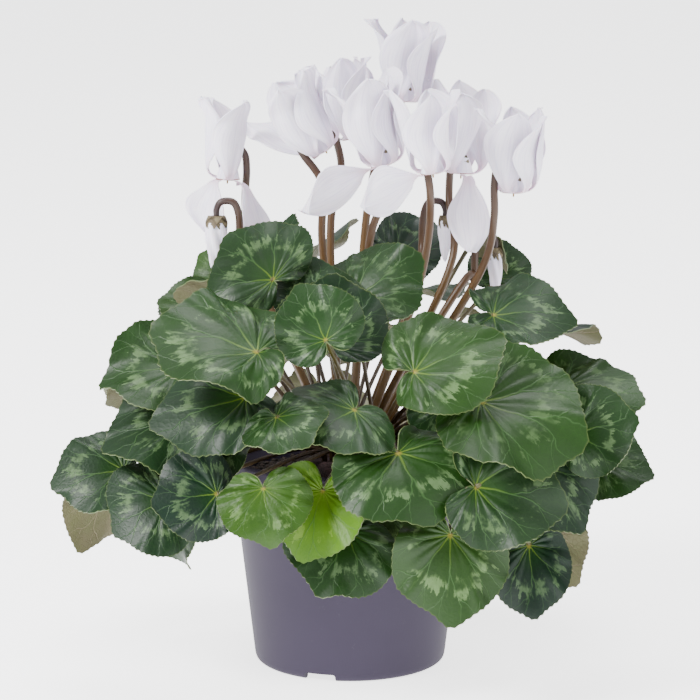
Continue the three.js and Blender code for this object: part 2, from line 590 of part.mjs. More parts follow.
// a petal's midline in the plane of its bearing: how far from the axis, how high, which way
function petalMidline(opening, length) {
  const line = [{ away: MOUTH_RADIUS, height: 0, angle: PETAL_FLARE }];
  for (let step = 1; step <= PETAL_STEPS; step += 1) {
    const turned = Math.min(1, step / PETAL_STEPS / PETAL_TURN);
    const angle = THREE.MathUtils.degToRad(PETAL_FLARE + (opening - PETAL_FLARE) * turned);
    const last = line.at(-1);
    const away = last.away + (Math.sin(angle) * length) / PETAL_STEPS;
    const height = last.height + (Math.cos(angle) * length) / PETAL_STEPS;
    line.push({ away, height, angle });
  }
  return line;
}

// an upright petal wraps round the bloom's axis in a spiral
function wrappedPoint(bloom, frame, bearing, spot, along, column) {
  const round = (column * (PETAL_WIDTH / 2) * petalWidth(along)) / PETAL_WRAP;
  const tucked = PETAL_SPIRAL * round * Math.min(1, along / SPIRAL_REACH);
  const turn = bearing + THREE.MathUtils.radToDeg(round) + PETAL_SWEEP * along;
  return vector(bloom.mouth)
    .addScaledVector(frame.up, spot.height)
    .addScaledVector(outwards(frame, turn), spot.away - tucked);
}

// a spreading or hanging petal is a shallow trough that twists about its midline
function spreadPoint(bloom, frame, bearing, spot, along, column, twist) {
  const out = outwards(frame, bearing);
  const side = frame.up.clone().cross(out);
  const inner = frame.up.clone().multiplyScalar(Math.sin(spot.angle));
  inner.addScaledVector(out, -Math.cos(spot.angle));
  const turn = twist * Math.min(1, along / SPIRAL_REACH);
  const bent = (column * (PETAL_WIDTH / 2) * petalWidth(along)) / LOOSE_CURL;
  const level = LOOSE_CURL * Math.sin(bent);
  const raised = LOOSE_CURL * (1 - Math.cos(bent));
  return vector(bloom.mouth)
    .addScaledVector(frame.up, spot.height)
    .addScaledVector(out, spot.away)
    .addScaledVector(side, level * Math.cos(turn) - raised * Math.sin(turn))
    .addScaledVector(inner, level * Math.sin(turn) + raised * Math.cos(turn));
}

// the rows of a petal beyond the mouth
function petalRows(bloom, frame, [bearing, opening, length, twist = 0]) {
  const midline = petalMidline(opening, length);
  const pointAt = opening > SPREAD_OPENING ? spreadPoint : wrappedPoint;
  return PETAL_ROWS.flatMap((along) => {
    const spot = midline[Math.round(along * PETAL_STEPS)];
    return PETAL_COLUMNS.map((column) => {
      return pointAt(bloom, frame, bearing, spot, along, column, twist);
    });
  });
}

// a corolla is one thick sheet: a short tube, and petals that share its mouth
function makeBloom(bloom) {
  const frame = bloomFrame(bloom.lean);
  const petals = bloom.petals;
  const points = [];
  const faces = [];
  const ring = MOUTH_STEPS.length * petals.length;
  const turns = [];
  petals.forEach(([bearing], i) => {
    const last = i === petals.length - 1;
    const before = petals.at(i - 1)[0] - (i === 0 ? 360 : 0);
    const after = petals[(i + 1) % petals.length][0] + (last ? 360 : 0);
    const start = (before + bearing) / 2;
    const end = (bearing + after) / 2;
    turns.push(...MOUTH_STEPS.map((part) => start + (end - start) * part));
  });
  for (const [radius, height] of TUBE_PROFILE) {
    for (const turn of turns) {
      const point = vector(bloom.mouth).addScaledVector(outwards(frame, turn), radius);
      points.push(point.addScaledVector(frame.up, height));
    }
  }
  const levels = TUBE_PROFILE.length;
  const cap = points.length;
  points.push(vector(bloom.mouth).addScaledVector(frame.up, TUBE_LENGTH));
  for (let j = 0; j < ring; j += 1) {
    const next = (j + 1) % ring;
    for (let level = 0; level < levels - 1; level += 1) {
      const low = level * ring;
      const high = low + ring;
      faces.push([low + j, high + j, high + next]);
      faces.push([low + j, high + next, low + next]);
    }
    const last = (levels - 1) * ring;
    faces.push([last + j, cap, last + next]);
  }
  petals.forEach((petal, i) => {
    let row = MOUTH_STEPS.map((_, j) => (MOUTH_STEPS.length * i + j) % ring);
    row.push((MOUTH_STEPS.length * (i + 1)) % ring);
    const rest = petalRows(bloom, frame, petal);
    for (let at = 0; at < rest.length; at += PETAL_COLUMNS.length) {
      const next = PETAL_COLUMNS.map((_, j) => points.length + j);
      points.push(...rest.slice(at, at + PETAL_COLUMNS.length));
      for (let column = 0; column < PETAL_COLUMNS.length - 1; column += 1) {
        faces.push([row[column], row[column + 1], next[column + 1]]);
        faces.push([row[column], next[column + 1], next[column]]);
      }
      row = next;
    }
  });
  return solidFrom(thicken(points, faces, PETAL_THICKNESS));
}

function makeBud(bud) {
  const radius = BUD_RADIUS * bud.thick;
  const outline = BUD_PROFILE.map(([part, down]) => [radius * part, -bud.length * down]);
  const spindle = lathe(outline.reverse(), BUD_SEGMENTS);
  return spindle.translate(budTop(bud).toArray());
}

// a bud hangs beside the top of its hook
function budTop(bud) {
  const turn = THREE.MathUtils.degToRad(bud.from);
  const reach = new THREE.Vector3(-Math.cos(turn), -Math.sin(turn), 0);
  const drop = new THREE.Vector3(0, 0, -BUD_DROP - 2 * GAP);
  return vector(bud.apex).addScaledVector(reach, BUD_HOOK).add(drop);
}

// ---------------------------------------------------------------- flower stems
function stemCurve(base, mid, hook) {
  const start = base.clone().add(new THREE.Vector3(0, 0, ROOTED + 2));
  return new THREE.CatmullRomCurve3([base, start, mid, ...hook], false, 'centripetal');
}

function bloomHook(bloom) {
  const frame = bloomFrame(bloom.lean);
  const side = outwards(frame, bloom.from);
  const spots = [...HOOK_SPOTS, [0, TUBE_LENGTH + PETAL_THICKNESS + 2 * GAP]];
  return spots.map(([part, height]) => vector(bloom.mouth)
    .addScaledVector(side, part * HOOK_REACH)
    .addScaledVector(frame.up, height));
}

function budHook(bud) {
  const turn = THREE.MathUtils.degToRad(bud.from);
  const side = new THREE.Vector3(Math.cos(turn), Math.sin(turn), 0);
  const spots = [...BUD_HOOK_SPOTS, [-1, -BUD_DROP]];
  return spots.map(([part, height]) => vector(bud.apex)
    .addScaledVector(side, part * BUD_HOOK)
    .addScaledVector(UPRIGHT, height));
}

// ---------------------------------------------------------------- leaf stalks
function stalkEnd(leaf) {
  const { along, up } = bladeFrame(leaf);
  const way = up.clone().multiplyScalar(STALK_END.up);
  return way.addScaledVector(along, STALK_END.along).normalize();
}

// the ways a stalk may run: bowed sideways and up or down, the plainest first
function stalkBows() {
  const bows = [];
  for (const side of [0, 8, -8, 16, -16, 26, -26, 38, -38, 50, -50, 64, -64]) {
    for (const rise of [0, -12, 12, -26, 26, -40, 40]) {
      for (const reach of [6, 12, 20, 32, 44]) bows.push({ side, rise, reach });
    }
  }
  const effort = (bow) => Math.abs(bow.side) + Math.abs(bow.rise) + 0.1 * bow.reach;
  return bows.sort((a, b) => effort(a) - effort(b));
}

function stalkCurve(base, leaf, bow) {
  const end = vector(leaf.at);
  const outward = new THREE.Vector3(end.x, end.y, 0).normalize();
  const across = new THREE.Vector3(-outward.y, outward.x, 0);
  const first = base.clone().addScaledVector(outward, STALK_START.out);
  first.z += STALK_START.up;
  const last = end.clone().addScaledVector(stalkEnd(leaf), -bow.reach);
  for (const [point, part] of [[first, BOW_AT_START], [last, 1]]) {
    point.addScaledVector(across, bow.side * part);
    point.z += bow.rise * part;
  }
  return new THREE.CubicBezierCurve3(base, first, last, end);
}

// ---------------------------------------------------------------- clearing
function boxesMeet(a, b) {
  const one = a.boundingBox();
  const two = b.boundingBox();
  for (let i = 0; i < 3; i += 1) {
    if (one.min[i] > two.max[i] + GAP || two.min[i] > one.max[i] + GAP) return false;
  }
  return true;
}

function isClear(solid, others) {
  for (const other of others) {
    if (boxesMeet(solid, other) && solid.minGap(other, GAP + 0.1) < GAP) return false;
  }
  return true;
}

// a plain hole in the crown for a foot that stands in it and points at the given place
function crownHole(foot, toward, radius) {
  const along = toward.clone().sub(foot).normalize();
  const floor = foot.clone().addScaledVector(along, -2.5 * GAP);
  const mouth = foot.clone().addScaledVector(along, 3 * ROOTED);
  const reach = (radius + 1.2 * GAP) / Math.cos(Math.PI / HOLE_SIDES);
  return rod(new THREE.LineCurve3(floor, mouth), reach, HOLE_SIDES, 1);
}

// ---------------------------------------------------------------- assembly
const plant = new THREE.Group();
plant.name = 'potted_cyclamen';

function addPiece(name, solid, color, roughness) {
  const material = new THREE.MeshStandardMaterial({ color, roughness, metalness: 0 });
  const mesh = new THREE.Mesh(geometryFrom(solid), material);
  mesh.name = name;
  plant.add(mesh);
}

function numbered(word, i) {
  return `${word}_${String(i + 1).padStart(2, '0')}`;
}

const pot = makePot();
const soil = makeSoil();
addPiece('pot', pot, POT_COLOUR, SATIN);
addPiece('soil', soil, SOIL_COLOUR, MATT);
const laid = [pot, soil];
const holes = [];

// a flower's stem, and its bloom or bud with room cut for the stem
function addFlower(flower, hook, head, name, i) {
  const [x, y] = flower.root;
  const base = new THREE.Vector3(x, y, TUBER_TOP - ROOTED);
  const curve = stemCurve(base, vector(flower.mid), hook);
  const stem = rod(curve, STEM_RADIUS, STEM_SIDES, STEM_STEPS);
  const sleeve = rod(curve, STEM_RADIUS + SLEEVE, STEM_SIDES, STEM_STEPS);
  const cleared = mainBody(head.subtract(sleeve));
  const stemNumber = name === 'bud' ? i + BLOOMS.length : i;
  addPiece(numbered('flower_stem', stemNumber), stem, STEM_COLOUR, SATIN);
  addPiece(numbered(name, i), cleared, PETAL_COLOUR, SATIN);
  laid.push(stem, cleared);
  holes.push(crownHole(base, curve.getPointAt(1 / STEM_STEPS), STEM_RADIUS));
}

BLOOMS.forEach((bloom, i) => addFlower(bloom, bloomHook(bloom), makeBloom(bloom), 'bloom', i));
BUDS.forEach((bud, i) => addFlower(bud, budHook(bud), makeBud(bud), 'bud', i));

// each blade is laid in turn, moved outwards in small steps until it is clear of the rest
const blades = LEAVES.map((row, i) => {
  const leaf = { ...PLAIN_LEAF, phase: WAVE_TURN * i, ...row };
  const outward = vector(leaf.at).sub(vector(HEART)).normalize();
  let solid = bladeSolid(leaf);
  for (let step = 0; step < LIFT_STEPS && !isClear(solid, laid); step += 1) {
    leaf.at = vector(leaf.at).addScaledVector(outward, LIFT_STEP).toArray();
    solid = bladeSolid(leaf);
  }
  laid.push(solid);
  return { leaf, solid };
});

// leaves are paired with their neighbours round the crown: the steeper half stands on the
// inner ring and the lower half on the outer one
function steepness({ leaf }) {
  const [x, y, z] = leaf.at;
  return (z - TUBER_TOP) / Math.hypot(x, y);
}

function bearing({ leaf }) {
  return Math.atan2(leaf.at[1], leaf.at[0]);
}

function pairUp(members, ring) {
  const sorted = [...members].sort((a, b) => bearing(a) - bearing(b));
  const pairs = [];
  for (let i = 0; i < sorted.length; i += 2) {
    const turn = bearing(sorted[0]) + (2 * Math.PI * i) / sorted.length;
    const foot = new THREE.Vector3(ring * Math.cos(turn), ring * Math.sin(turn), 0);
    foot.z = TUBER_TOP - ROOTED;
    const base = foot.clone().setZ(TUBER_TOP + STALK_RISE);
    holes.push(crownHole(foot, base, STALK_RADIUS));
    pairs.push({ base, members: sorted.slice(i, i + 2) });
  }
  return pairs;
}

const bySteepness = [...blades].sort((a, b) => steepness(b) - steepness(a));
const half = 2 * Math.round(blades.length / 4);
const pairs = [
  ...pairUp(bySteepness.slice(0, half), INNER_RING),
  ...pairUp(bySteepness.slice(half), OUTER_RING),
];
const tuber = mainBody(tuberShape(0).subtract(wasm.Manifold.union(holes)));
addPiece('tuber', tuber, TUBER_COLOUR, MATT);
laid.push(tuber);

// each stalk takes the plainest bow that is clear of every other piece
const bows = stalkBows();
const leaves = [];
pairs.forEach((pair, i) => {
  const own = pair.members.map((member) => member.solid);
  const others = [...laid.filter((solid) => !own.includes(solid)), ...leaves];
  const pieces = pair.members.map(({ leaf }) => {
    for (const bow of bows) {
      const solid = leafSolid(leaf, stalkCurve(pair.base, leaf, bow));
      if (isClear(solid, others)) return solid;
    }
    throw new Error(`no clear way for the stalk of the leaf at ${leaf.at}`);
  });
  leaves.push(...pieces);
  addPiece(numbered('leaf_pair', i), pieces[0].add(pieces[1]), LEAF_COLOURS[i % 3], SATIN);
});

export default plant;
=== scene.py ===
"""A potted cyclamen, dressed for close views: fine toothed and veined leaves, thin ruffled
petals, hooked stems, nodding buds, corky tuber, crumbly compost and a matt nursery pot.
Sizes are in millimetres until a mesh is made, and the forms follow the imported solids."""
import itertools
import random
from math import cos, degrees, pi, radians, sin, sqrt

import bpy
import numpy as np
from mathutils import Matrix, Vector
from mathutils.kdtree import KDTree
from mathutils.noise import noise as soft_noise
from numpy.linalg import norm


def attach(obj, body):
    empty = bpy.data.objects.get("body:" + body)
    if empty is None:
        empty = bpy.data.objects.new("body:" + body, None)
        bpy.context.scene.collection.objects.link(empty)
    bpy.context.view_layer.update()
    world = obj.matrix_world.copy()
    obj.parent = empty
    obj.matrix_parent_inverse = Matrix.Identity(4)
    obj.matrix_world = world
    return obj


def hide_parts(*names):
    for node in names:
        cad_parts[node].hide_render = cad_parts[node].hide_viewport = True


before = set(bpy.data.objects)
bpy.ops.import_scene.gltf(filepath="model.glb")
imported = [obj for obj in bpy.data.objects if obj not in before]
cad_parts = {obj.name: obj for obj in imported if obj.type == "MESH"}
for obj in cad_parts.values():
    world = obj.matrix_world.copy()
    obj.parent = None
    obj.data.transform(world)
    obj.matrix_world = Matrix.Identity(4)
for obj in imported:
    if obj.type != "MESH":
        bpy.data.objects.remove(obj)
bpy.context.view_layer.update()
MM = 0.001
GAP = 0.35
TURN = 2 * pi
GREY = (0.5, 0.5, 0.5)
UP = np.array((0, 0, 1))

# ---- pot, soil and tuber
POT_HEIGHT = 100
POT_RIM_RADIUS = 60
POT_RIM_HEIGHT = 11
POT_RIM_WIDTH = 3
POT_NECK_RADIUS = 55
POT_BASE_RADIUS = 45
POT_WALL = 1.6
POT_FLOOR = 4
FOOT_WIDTH = 3
FOOT_BEVEL = 2
POT_SEGMENTS = 128
SHARP_FROM = 32
NOTCH_COUNT = 3
NOTCH_WIDTH = 15
NOTCH_HEIGHT = 3.4
NOTCH_BEVEL = 0.8
NOTCH_TURN = -108.5
DRAIN_COUNT = 5
DRAIN_RADIUS = 3.5
DRAIN_CIRCLE = 30
DRAIN_SIDES = 24
SOIL_TOP = 88
SOIL_RINGS = 44
SOIL_SEGMENTS = 150
CRUMB_COUNT = 700
CRUMB_SIDES = 6
TUBER_RADIUS = 26.5
TUBER_HEIGHT = 30
TUBER_TOP = 99
TUBER_SHOULDER = 4
TUBER_SEGMENTS = 110
ROOTED = 2

# ---- leaves
STALK_RADIUS = 1.25
STALK_RISE = 1.6
STALK_WAIST = 0.22
STALK_SUNK = 0.3
STALK_STEPS = 26
STALK_BOWS = list(itertools.product(
    (0, 8, -8, 16, -16, 26, -26, 38, -38, 50, -50, 64, -64),
    (0, -12, 12, -26, 26, -40, 40),
    (6, 12, 20, 32, 44),
))
BLADE_THICKNESS = 0.45
BLADE_SPOKES = 9
BLADE_ROUNDNESS = 0.32
BLADE_POINT = 0.07
BLADE_POINT_SPREAD = 0.2
BLADE_RINGS = np.array([0.0, 0.05, 0.12, 0.2, 0.29, 0.38, 0.47, 0.56, 0.65, 0.74, 0.82, 0.89,
                        0.95, 0.985, 1.0])
SINUS = 0.34
LOBE_ROUNDING = 0.55
FUNNEL = 0.07
FUNNEL_SPREAD = 0.3
VEIN_FORKS = ((0.4, 0.38), (0.72, 0.36))
VEIN_SPACING = 0.68
VEIN_DEPTH = 0.009
VEIN_GROOVE = 0.03
VEIN_WIDTH = 0.017
VEIN_TAPER = 0.011
TIP_POINT = 0.06
TIP_SPREAD = 0.15
OUTLINE_SWAY = 0.09
OUTLINE_DETAIL = 1.6
TEETH = 58
TOOTH_DEPTH = 0.019
PUCKER = 0.014
MIDRIB_SPREAD = 0.26
MIDRIB_FOLD = 0.05
RUFFLE = 0.26
RUFFLE_DETAIL = 2.5
SUNK_AT_MOST = 0.024
RAISED_AT_MOST = 0.085
MARGIN_WAVES = 4
WAVE_GROWTH = 2.5
WAVE_TURN = 1.9
HEART = (0, 0, 120)
LIFT_STEP = 1.5
LIFT_STEPS = 24
CORNERS_COMPARED = 12
BLADE_EDGE = pi - SINUS - 0.04
LEAF_LIGHT = {45: 1.0, 46: 0.32, 54: 0.1, 25: 0.12, 26: 0.16, 27: 0.1, 43: 0.08, 50: 0.1}
PLAIN_LEAF = {"wide": 1, "curl": (0.25, 0.25), "arch": 0.3, "wave": 0.09}

# Where the stalk meets the blade, the way from there to the tip and the way the upper side
# looks. Then, where they aren't a plain leaf's, the width, each side's curl and the arch.
LEAVES = [
    # behind the flowers
    ((-36, 50, 177), (9, 8, 24), (-0.9, -0.2, 0.5), 0.6, (0.9, 0.9)),
    ((-22, 48, 180), (26, 6, 17), (-0.2, 0.4, 0.9), 1.2, (-0.4, 0.5)),
    ((22, 58, 182), (18, 6, 14), (0.2, -0.6, 0.8), 1.1),
    ((52, 34, 184), (13, -2, -15), (0.5, 0.4, 0.8), 1, (0.5, 0.2)),
    ((66, 46, 170), (4, 6, 16), (0, -0.7, 0.7), 1.2),
    # the back
    ((-24, 74, 160), (-8, 28, 2), (-0.1, 0.4, 0.9)),
    ((30, 76, 160), (14, 28, -2), (0.1, 0.5, 0.9), 1.1),
    ((-60, 50, 158), (-24, 24, -4), (-0.4, 0.4, 0.8)),
    ((66, 62, 152), (26, 22, -6), (0.4, 0.5, 0.8), 1.1),
    ((2, 92, 140), (-4, 28, -18), (0, 0.7, 0.8), 1.1),
    ((-42, 86, 130), (-14, 28, -18), (-0.3, 0.8, 0.6)),
    ((48, 90, 124), (16, 26, -18), (0.3, 0.8, 0.6), 1.1),
    ((-86, 42, 128), (-28, 18, -10), (-0.6, 0.4, 0.7)),
    ((90, 42, 124), (26, 16, -12), (0.6, 0.4, 0.7)),
    ((-72, 74, 102), (-20, 24, -18), (-0.6, 0.6, 0.6)),
    ((74, 76, 102), (20, 22, -20), (0.6, 0.6, 0.6)),
    ((-14, 102, 106), (-6, 18, -28), (-0.1, 0.9, 0.5), 1.1),
    ((26, 104, 94), (6, 14, -26), (0.2, 0.9, 0.4)),
    ((-46, 92, 82), (-8, 14, -26), (-0.4, 0.8, 0.4)),
    ((58, 86, 78), (10, 12, -26), (0.4, 0.8, 0.4)),
    # upper front
    ((2, -38, 179), (28, 8, 14), (0, -0.6, 0.8), 1, (0.1, 0.7)),
    ((-14, -46, 175), (-2, 15, 16), (0, -0.5, 0.9), 1.3),
    ((-8, -60, 160), (0, 8, 28), (0.1, -0.9, 0.4), 1.25, (0.25, 0.25), -0.5),
    ((41, -58, 134), (3, -10, -18), (0.2, -0.6, 0.7), 1.1),
    ((-31, -42, 182), (-20, 8, 16), (-0.2, -0.7, 0.7), 1.4),
    # left side
    ((-60, 6, 182), (-10, 6, 8), (-0.5, -0.7, 0.5), 1.2),
    ((-58, -6, 162), (-22, 0, 4), (-0.4, -0.7, 0.6)),
    ((-56, -24, 176), (-22, 0, 0), (-0.1, 0.8, 0.6), 1, (0.6, 0.2)),
    ((-98, -10, 130), (-14, 0, -6), (-0.2, 0.8, 0.5), 1.1),
    ((-76, -44, 148), (-34, -4, -6), (-0.3, -0.6, 0.8), 1, (0.3, -0.5)),
    ((-70, -56, 130), (-36, -4, -16), (-0.3, -0.7, 0.7), 0.9),
    ((-58, -62, 118), (-14, -10, -16), (-0.1, -0.7, 0.6)),
    ((-112, -22, 86), (-12, -4, -24), (-0.2, 0.8, 0.3), 0.9),
    ((-82, -42, 82), (9, -6, -24), (-0.8, -0.5, 0.3), 0.8),
    ((-79, -52, 106), (-14, 4, 8), (-0.2, -0.8, 0.6), 1.2),
    ((-103, -46, 101), (-30, -2, -6), (-0.2, -0.8, 0.6), 0.95),
    ((-83, -66, 92), (-22, -4, -14), (-0.2, -0.9, 0.4), 1.2),
    ((-59, -84, 99), (-26, -2, -4), (-0.1, -0.9, 0.4), 1.1),
    # right side
    ((80, -12, 160), (32, 0, -6), (0.1, 0.3, 0.9), 1, (-0.4, 0.4)),
    ((65, -36, 171), (33, -2, -1), (0, -0.5, 0.85), 1.05),
    ((96, -38, 138), (36, -6, -8), (0.1, -0.3, 0.9), 0.9, (-0.6, 0.8)),
    ((112, -28, 102), (25, -2, -8), (0.4, -0.8, 0.5), 1, (0.6, 0.2)),
    ((97, -62, 122), (25, -2, 6), (0.2, -0.9, 0.3), 1.1),
    # lower front
    ((13, -70, 91), (-2, -12, -26), (0, -0.9, 0.4)),
    ((-1, -84, 82), (-12, -12, -26), (0, -0.9, 0.4), 1.1),
    ((-12, -86, 101), (-9, -12, -26), (0, -0.9, 0.5), 1, (-0.5, -0.2)),
    ((-38, -102, 106), (4, -8, -22), (0, -0.9, 0.3), 1.2),
    ((84, -54, 78), (18, -6, -24), (-0.5, 0.7, 0.4), 0.8),
    ((84, -66, 108), (18, -8, -26), (0.4, -0.8, 0.3)),
    ((80, -78, 74), (2, -10, -29), (0, -0.9, 0.4), 0.85),
    ((44, -102, 85), (0, -8, -36), (0, -0.9, 0.3), 0.95),
    ((21, -98, 121), (12, -18, -26), (0, -0.6, 0.8), 1.35, (0.25, 0.25), 0.7),
    ((54, -106, 108), (35, 2, -8), (-0.1, -0.8, 0.5), 1.1),
    # middle front
    ((56, -84, 141), (42, -8, -20), (0, -0.5, 0.85), 1, (-0.4, 0.5)),
    ((28, -88, 155), (36, 6, 10), (0, -0.6, 0.75), 1, (0.3, 0.4)),
    ((2, -78, 136), (-20, -16, -8), (0, -0.6, 0.8), 1.4),
    ((-30, -92, 136), (14, -14, -8), (0.2, -0.7, 0.6), 1.3),
    ((-46, -84, 143), (-37, 0, -14), (-0.1, -0.7, 0.7), 0.9),
    ((-36, -78, 159), (-43, 6, 8), (-0.1, -0.4, 0.9), 1, (0.8, 0.1)),
    ((-10, -82, 166), (-11, 6, 21), (-0.1, -0.9, 0.4), 1.1),
]

# ---- flowers
PETAL_WIDTH = 23
PETAL_FLARE = 100
PETAL_TURN = 0.2
PETAL_STEPS = 20
PETAL_WIDEST = 0.55
PETAL_FOOT = 0.15
PETAL_THICKNESS = 0.4
PETAL_COLUMNS = 21
TIP_ROUNDING = 0.72
TIP_CURL = 3
FOLDS = 4.6
FOLD_DEPTH = 0.7
RUFFLE_DEPTH = 4.5
EDGE_ROLL = 4
PETAL_WRAP = 11.5
PETAL_SPIRAL = 3.6
SPIRAL_REACH = 0.2
PETAL_SWEEP = 30
SPREAD_OPENING = 35
LOOSE_CURL = 26
TUBE_LENGTH = 8
MOUTH_RADIUS = 5.4
HOOK_REACH = 9.5
# how far to the side, as a part of the reach, and how high a stem's hook passes
HOOK_SPOTS = [(1, -12), (1, 4), (0.86, 11), (0.46, 14.5), (0, 12.5), (0, TUBE_LENGTH + 0.2)]
# turned about a bloom's axis: radius, and height above the mouth or the anthers' root
CUP = [(MOUTH_RADIUS, 0), (MOUTH_RADIUS + 0.3, -0.5), (MOUTH_RADIUS - 0.5, -0.4), (4.4, 1.2),
       (3.2, 3.5), (2.6, TUBE_LENGTH - 1.6), (0.2, TUBE_LENGTH - 1.2)]
TUBE = [(MOUTH_RADIUS, 0), (4.9, 2.2), (4.2, 4.5), (3.2, TUBE_LENGTH - 1), (0.2, TUBE_LENGTH)]
ANTHERS = [(2.2, 0), (2.0, -2.5), (1.2, -5.0), (0.5, -6.0), (0.35, -9.2), (0.02, -9.4)]
SEPAL_STEPS = 7
SEPAL_THICKNESS = 0.25
STEM_TAPER = ((0, 0.1, 0.6, 1), (2.05, 1.9, 1.7, 1.35))
# at: the mouth of a bloom, or the peak of a bud's hook.  side: the bearing of its hook.
# petals: bearing, opening and length of each, and the twist of some.
BLOOMS = [
    dict(at=(-57, 12, 227), lean=(0.05, 0, 1), side=25, mid=(-45, 6, 188), root=(-8.5, 2),
         petals=((100, 2, 38), (165, 0, 40), (220, 165, 26), (275, -2, 40), (332, 165, 45))),
    dict(at=(-12, 2, 242), lean=(-0.55, -0.1, 0.85), side=190, mid=(-13, 2, 199), root=(-3.5, -1.5),
         petals=((10, 2, 38), (75, 4, 38), (140, 42, 40), (240, 5, 40), (300, 4, 40))),
    dict(at=(2, 34, 243), lean=(-0.2, 0.15, 1), side=205, mid=(-9, 22, 205), root=(-3.5, 4.5),
         petals=((15, 4, 40), (85, 4, 38), (150, 5, 40), (245, 5, 40), (305, 2, 38))),
    dict(at=(15, -14, 237), lean=(-0.25, 0, 1), side=90, mid=(10, -8, 205), root=(1, -5),
         petals=((0, 2, 44), (140, 4, 42), (205, 104, 40, 1.3), (252, 4, 44), (308, 3, 42))),
    dict(at=(25, 20, 262), lean=(0.05, 0.1, 1), side=200, mid=(8, 12, 212), root=(1, 1.5),
         petals=((10, 4, 40), (75, 2, 41), (140, 6, 40), (250, 4, 40), (310, 5, 38))),
    dict(at=(37, -40, 237), lean=(-0.15, 0, 1), side=105, mid=(33, -10, 185), root=(5.2, -2.6),
         petals=((45, 2, 38), (145, 4, 42), (200, 108, 32, 1.2), (262, 2, 38), (322, 4, 38))),
    dict(at=(52, 22, 228), lean=(0.05, 0.1, 1), side=120, mid=(48, 10, 190), root=(6, 1.5),
         petals=((10, 2, 42), (70, 2, 46), (170, 5, 46), (235, 4, 40), (290, 165, 39, 1))),
    dict(at=(75, -10, 224), lean=(0, 0, 1), side=200, mid=(62, -8, 190), root=(9.7, -3.8),
         petals=((0, 4, 40), (65, 2, 40), (140, 4, 40), (245, 2, 40), (305, 5, 38))),
]
BUD_RADIUS = 5
BUD_HOOK = 5
BUD_DROP = 7
BUD_HOOK_SPOTS = [(1.2, -22), (1, -6), (0.5, -1), (-0.6, -1), (-1, -4.5), (-1, -BUD_DROP - 0.4)]
# radius and depth below the top, as parts of a bud's radius and length
BUD_SHAPE = [(0.02, 0), (0.45, 0.0), (0.75, 0.05), (0.93, 0.13), (1.0, 0.27), (0.97, 0.4),
             (0.84, 0.57), (0.66, 0.73), (0.45, 0.86), (0.26, 0.95), (0.03, 1.0)]
BUD_STEPS = 41
BUD_NARROWED = 0.93
BUD_TWIST = 2.2
BUDS = [
    dict(at=(-56, -18, 221), side=0, length=29, thick=1.05, mid=(-46, -12, 190), root=(-8, -3)),
    dict(at=(64, 26, 199), side=200, length=25, thick=0.7, mid=(57, 22, 180), root=(9.8, 6)),
    dict(at=(40, 30, 214), side=180, length=22, thick=0.7, mid=(33, 20, 180), root=(4.4, 7)),
]


# ---- vectors and meshes
def vec(v):
    return np.asarray(v, float)


def unit(v):
    return vec(v) / norm(v)


def heading(turn):
    return np.array((cos(turn), sin(turn), 0))


def smooth_step(low, high, x):
    t = np.clip((x - low) / (high - low), 0, 1)
    return t * t * (3 - 2 * t)


def in_scene(name, data):
    """A new object in the scene that holds the data."""
    made = bpy.data.objects.new(name, data)
    bpy.context.scene.collection.objects.link(made)
    return made


def new_piece(name, points, faces, materials=()):
    mesh = bpy.data.meshes.new(name)
    mesh.from_pydata((vec(points) * MM).tolist(), [], faces)
    for material in materials:
        mesh.materials.append(material)
    return in_scene(name, mesh)


def grid_faces(rows, columns, closed=False, flip=False):
    faces = []
    for i in range(rows - 1):
        for j in range(columns if closed else columns - 1):
            a, b = i * columns + j, i * columns + (j + 1) % columns
            c, d = b + columns, a + columns
            faces.append([a, d, c, b] if flip else [a, b, c, d])
    return faces


def end_faces(first, last, sides):
    """The faces that close a form whose first and last rings start at these points."""
    return [list(range(first, first + sides))[::-1], list(range(last, last + sides))]


class Sheaf:
    """Collects the faces of one piece, and a row for each point: its place, its spot in the
    flat and in the polar pattern, and its tint."""

    def __init__(self):
        self.rows, self.faces, self.slots = [], [], []
        self.count = 0

    def add(self, points, faces, slot, flat=(0, 0), polar=(0, 0), tint=GREY):
        points = vec(points).reshape(-1, 3)
        each = np.ones((len(points), 1))
        layers = [vec(values) * each for values in (flat, polar, tint)]
        self.rows.append(np.hstack([points, *layers, each]))
        self.faces += (np.asarray(faces, int) + self.count).tolist()
        self.slots += [slot] * len(faces)
        self.count += len(points)

    def add_sheet(self, top, low, slots, flat, polar=(0, 0), tint=GREY, flip=False):
        """A thin sheet: its upper side, its lower side and the strip along its edge."""
        rows, columns = top.shape[:2]
        self.add(top, grid_faces(rows, columns, flip=flip), slots[0], flat, polar, tint)
        self.add(low, grid_faces(rows, columns, flip=not flip), slots[1], flat, polar, tint)
        edge = [i * columns for i in range(rows)]
        edge += [(rows - 1) * columns + j for j in range(1, columns)]
        edge += [i * columns + columns - 1 for i in range(rows - 2, -1, -1)]
        both = [side.reshape(-1, 3)[edge] for side in (top, low)]
        rim = grid_faces(2, len(edge), flip=flip)
        self.add(both, rim, slots[2], vec(flat)[edge + edge], tint=tint)

    def build(self, node, materials):
        """The finished piece takes the place of its solid."""
        rows = np.vstack(self.rows)
        piece = new_piece(node + "_fine", rows[:, :3], self.faces, materials)
        mesh = piece.data
        mesh.polygons.foreach_set("material_index", self.slots)
        mesh.polygons.foreach_set("use_smooth", [True] * len(self.faces))
        corners = np.zeros(len(mesh.loops), int)
        mesh.loops.foreach_get("vertex_index", corners)
        for layer, first in (("flat", 3), ("polar", 5)):
            uv = mesh.uv_layers.new(name=layer)
            uv.data.foreach_set("uv", rows[corners, first:first + 2].ravel())
        tint = mesh.color_attributes.new(name="tint", type="FLOAT_COLOR", domain="POINT")
        tint.data.foreach_set("color", rows[:, 7:].ravel())
        mesh.update()
        settle(piece, node)


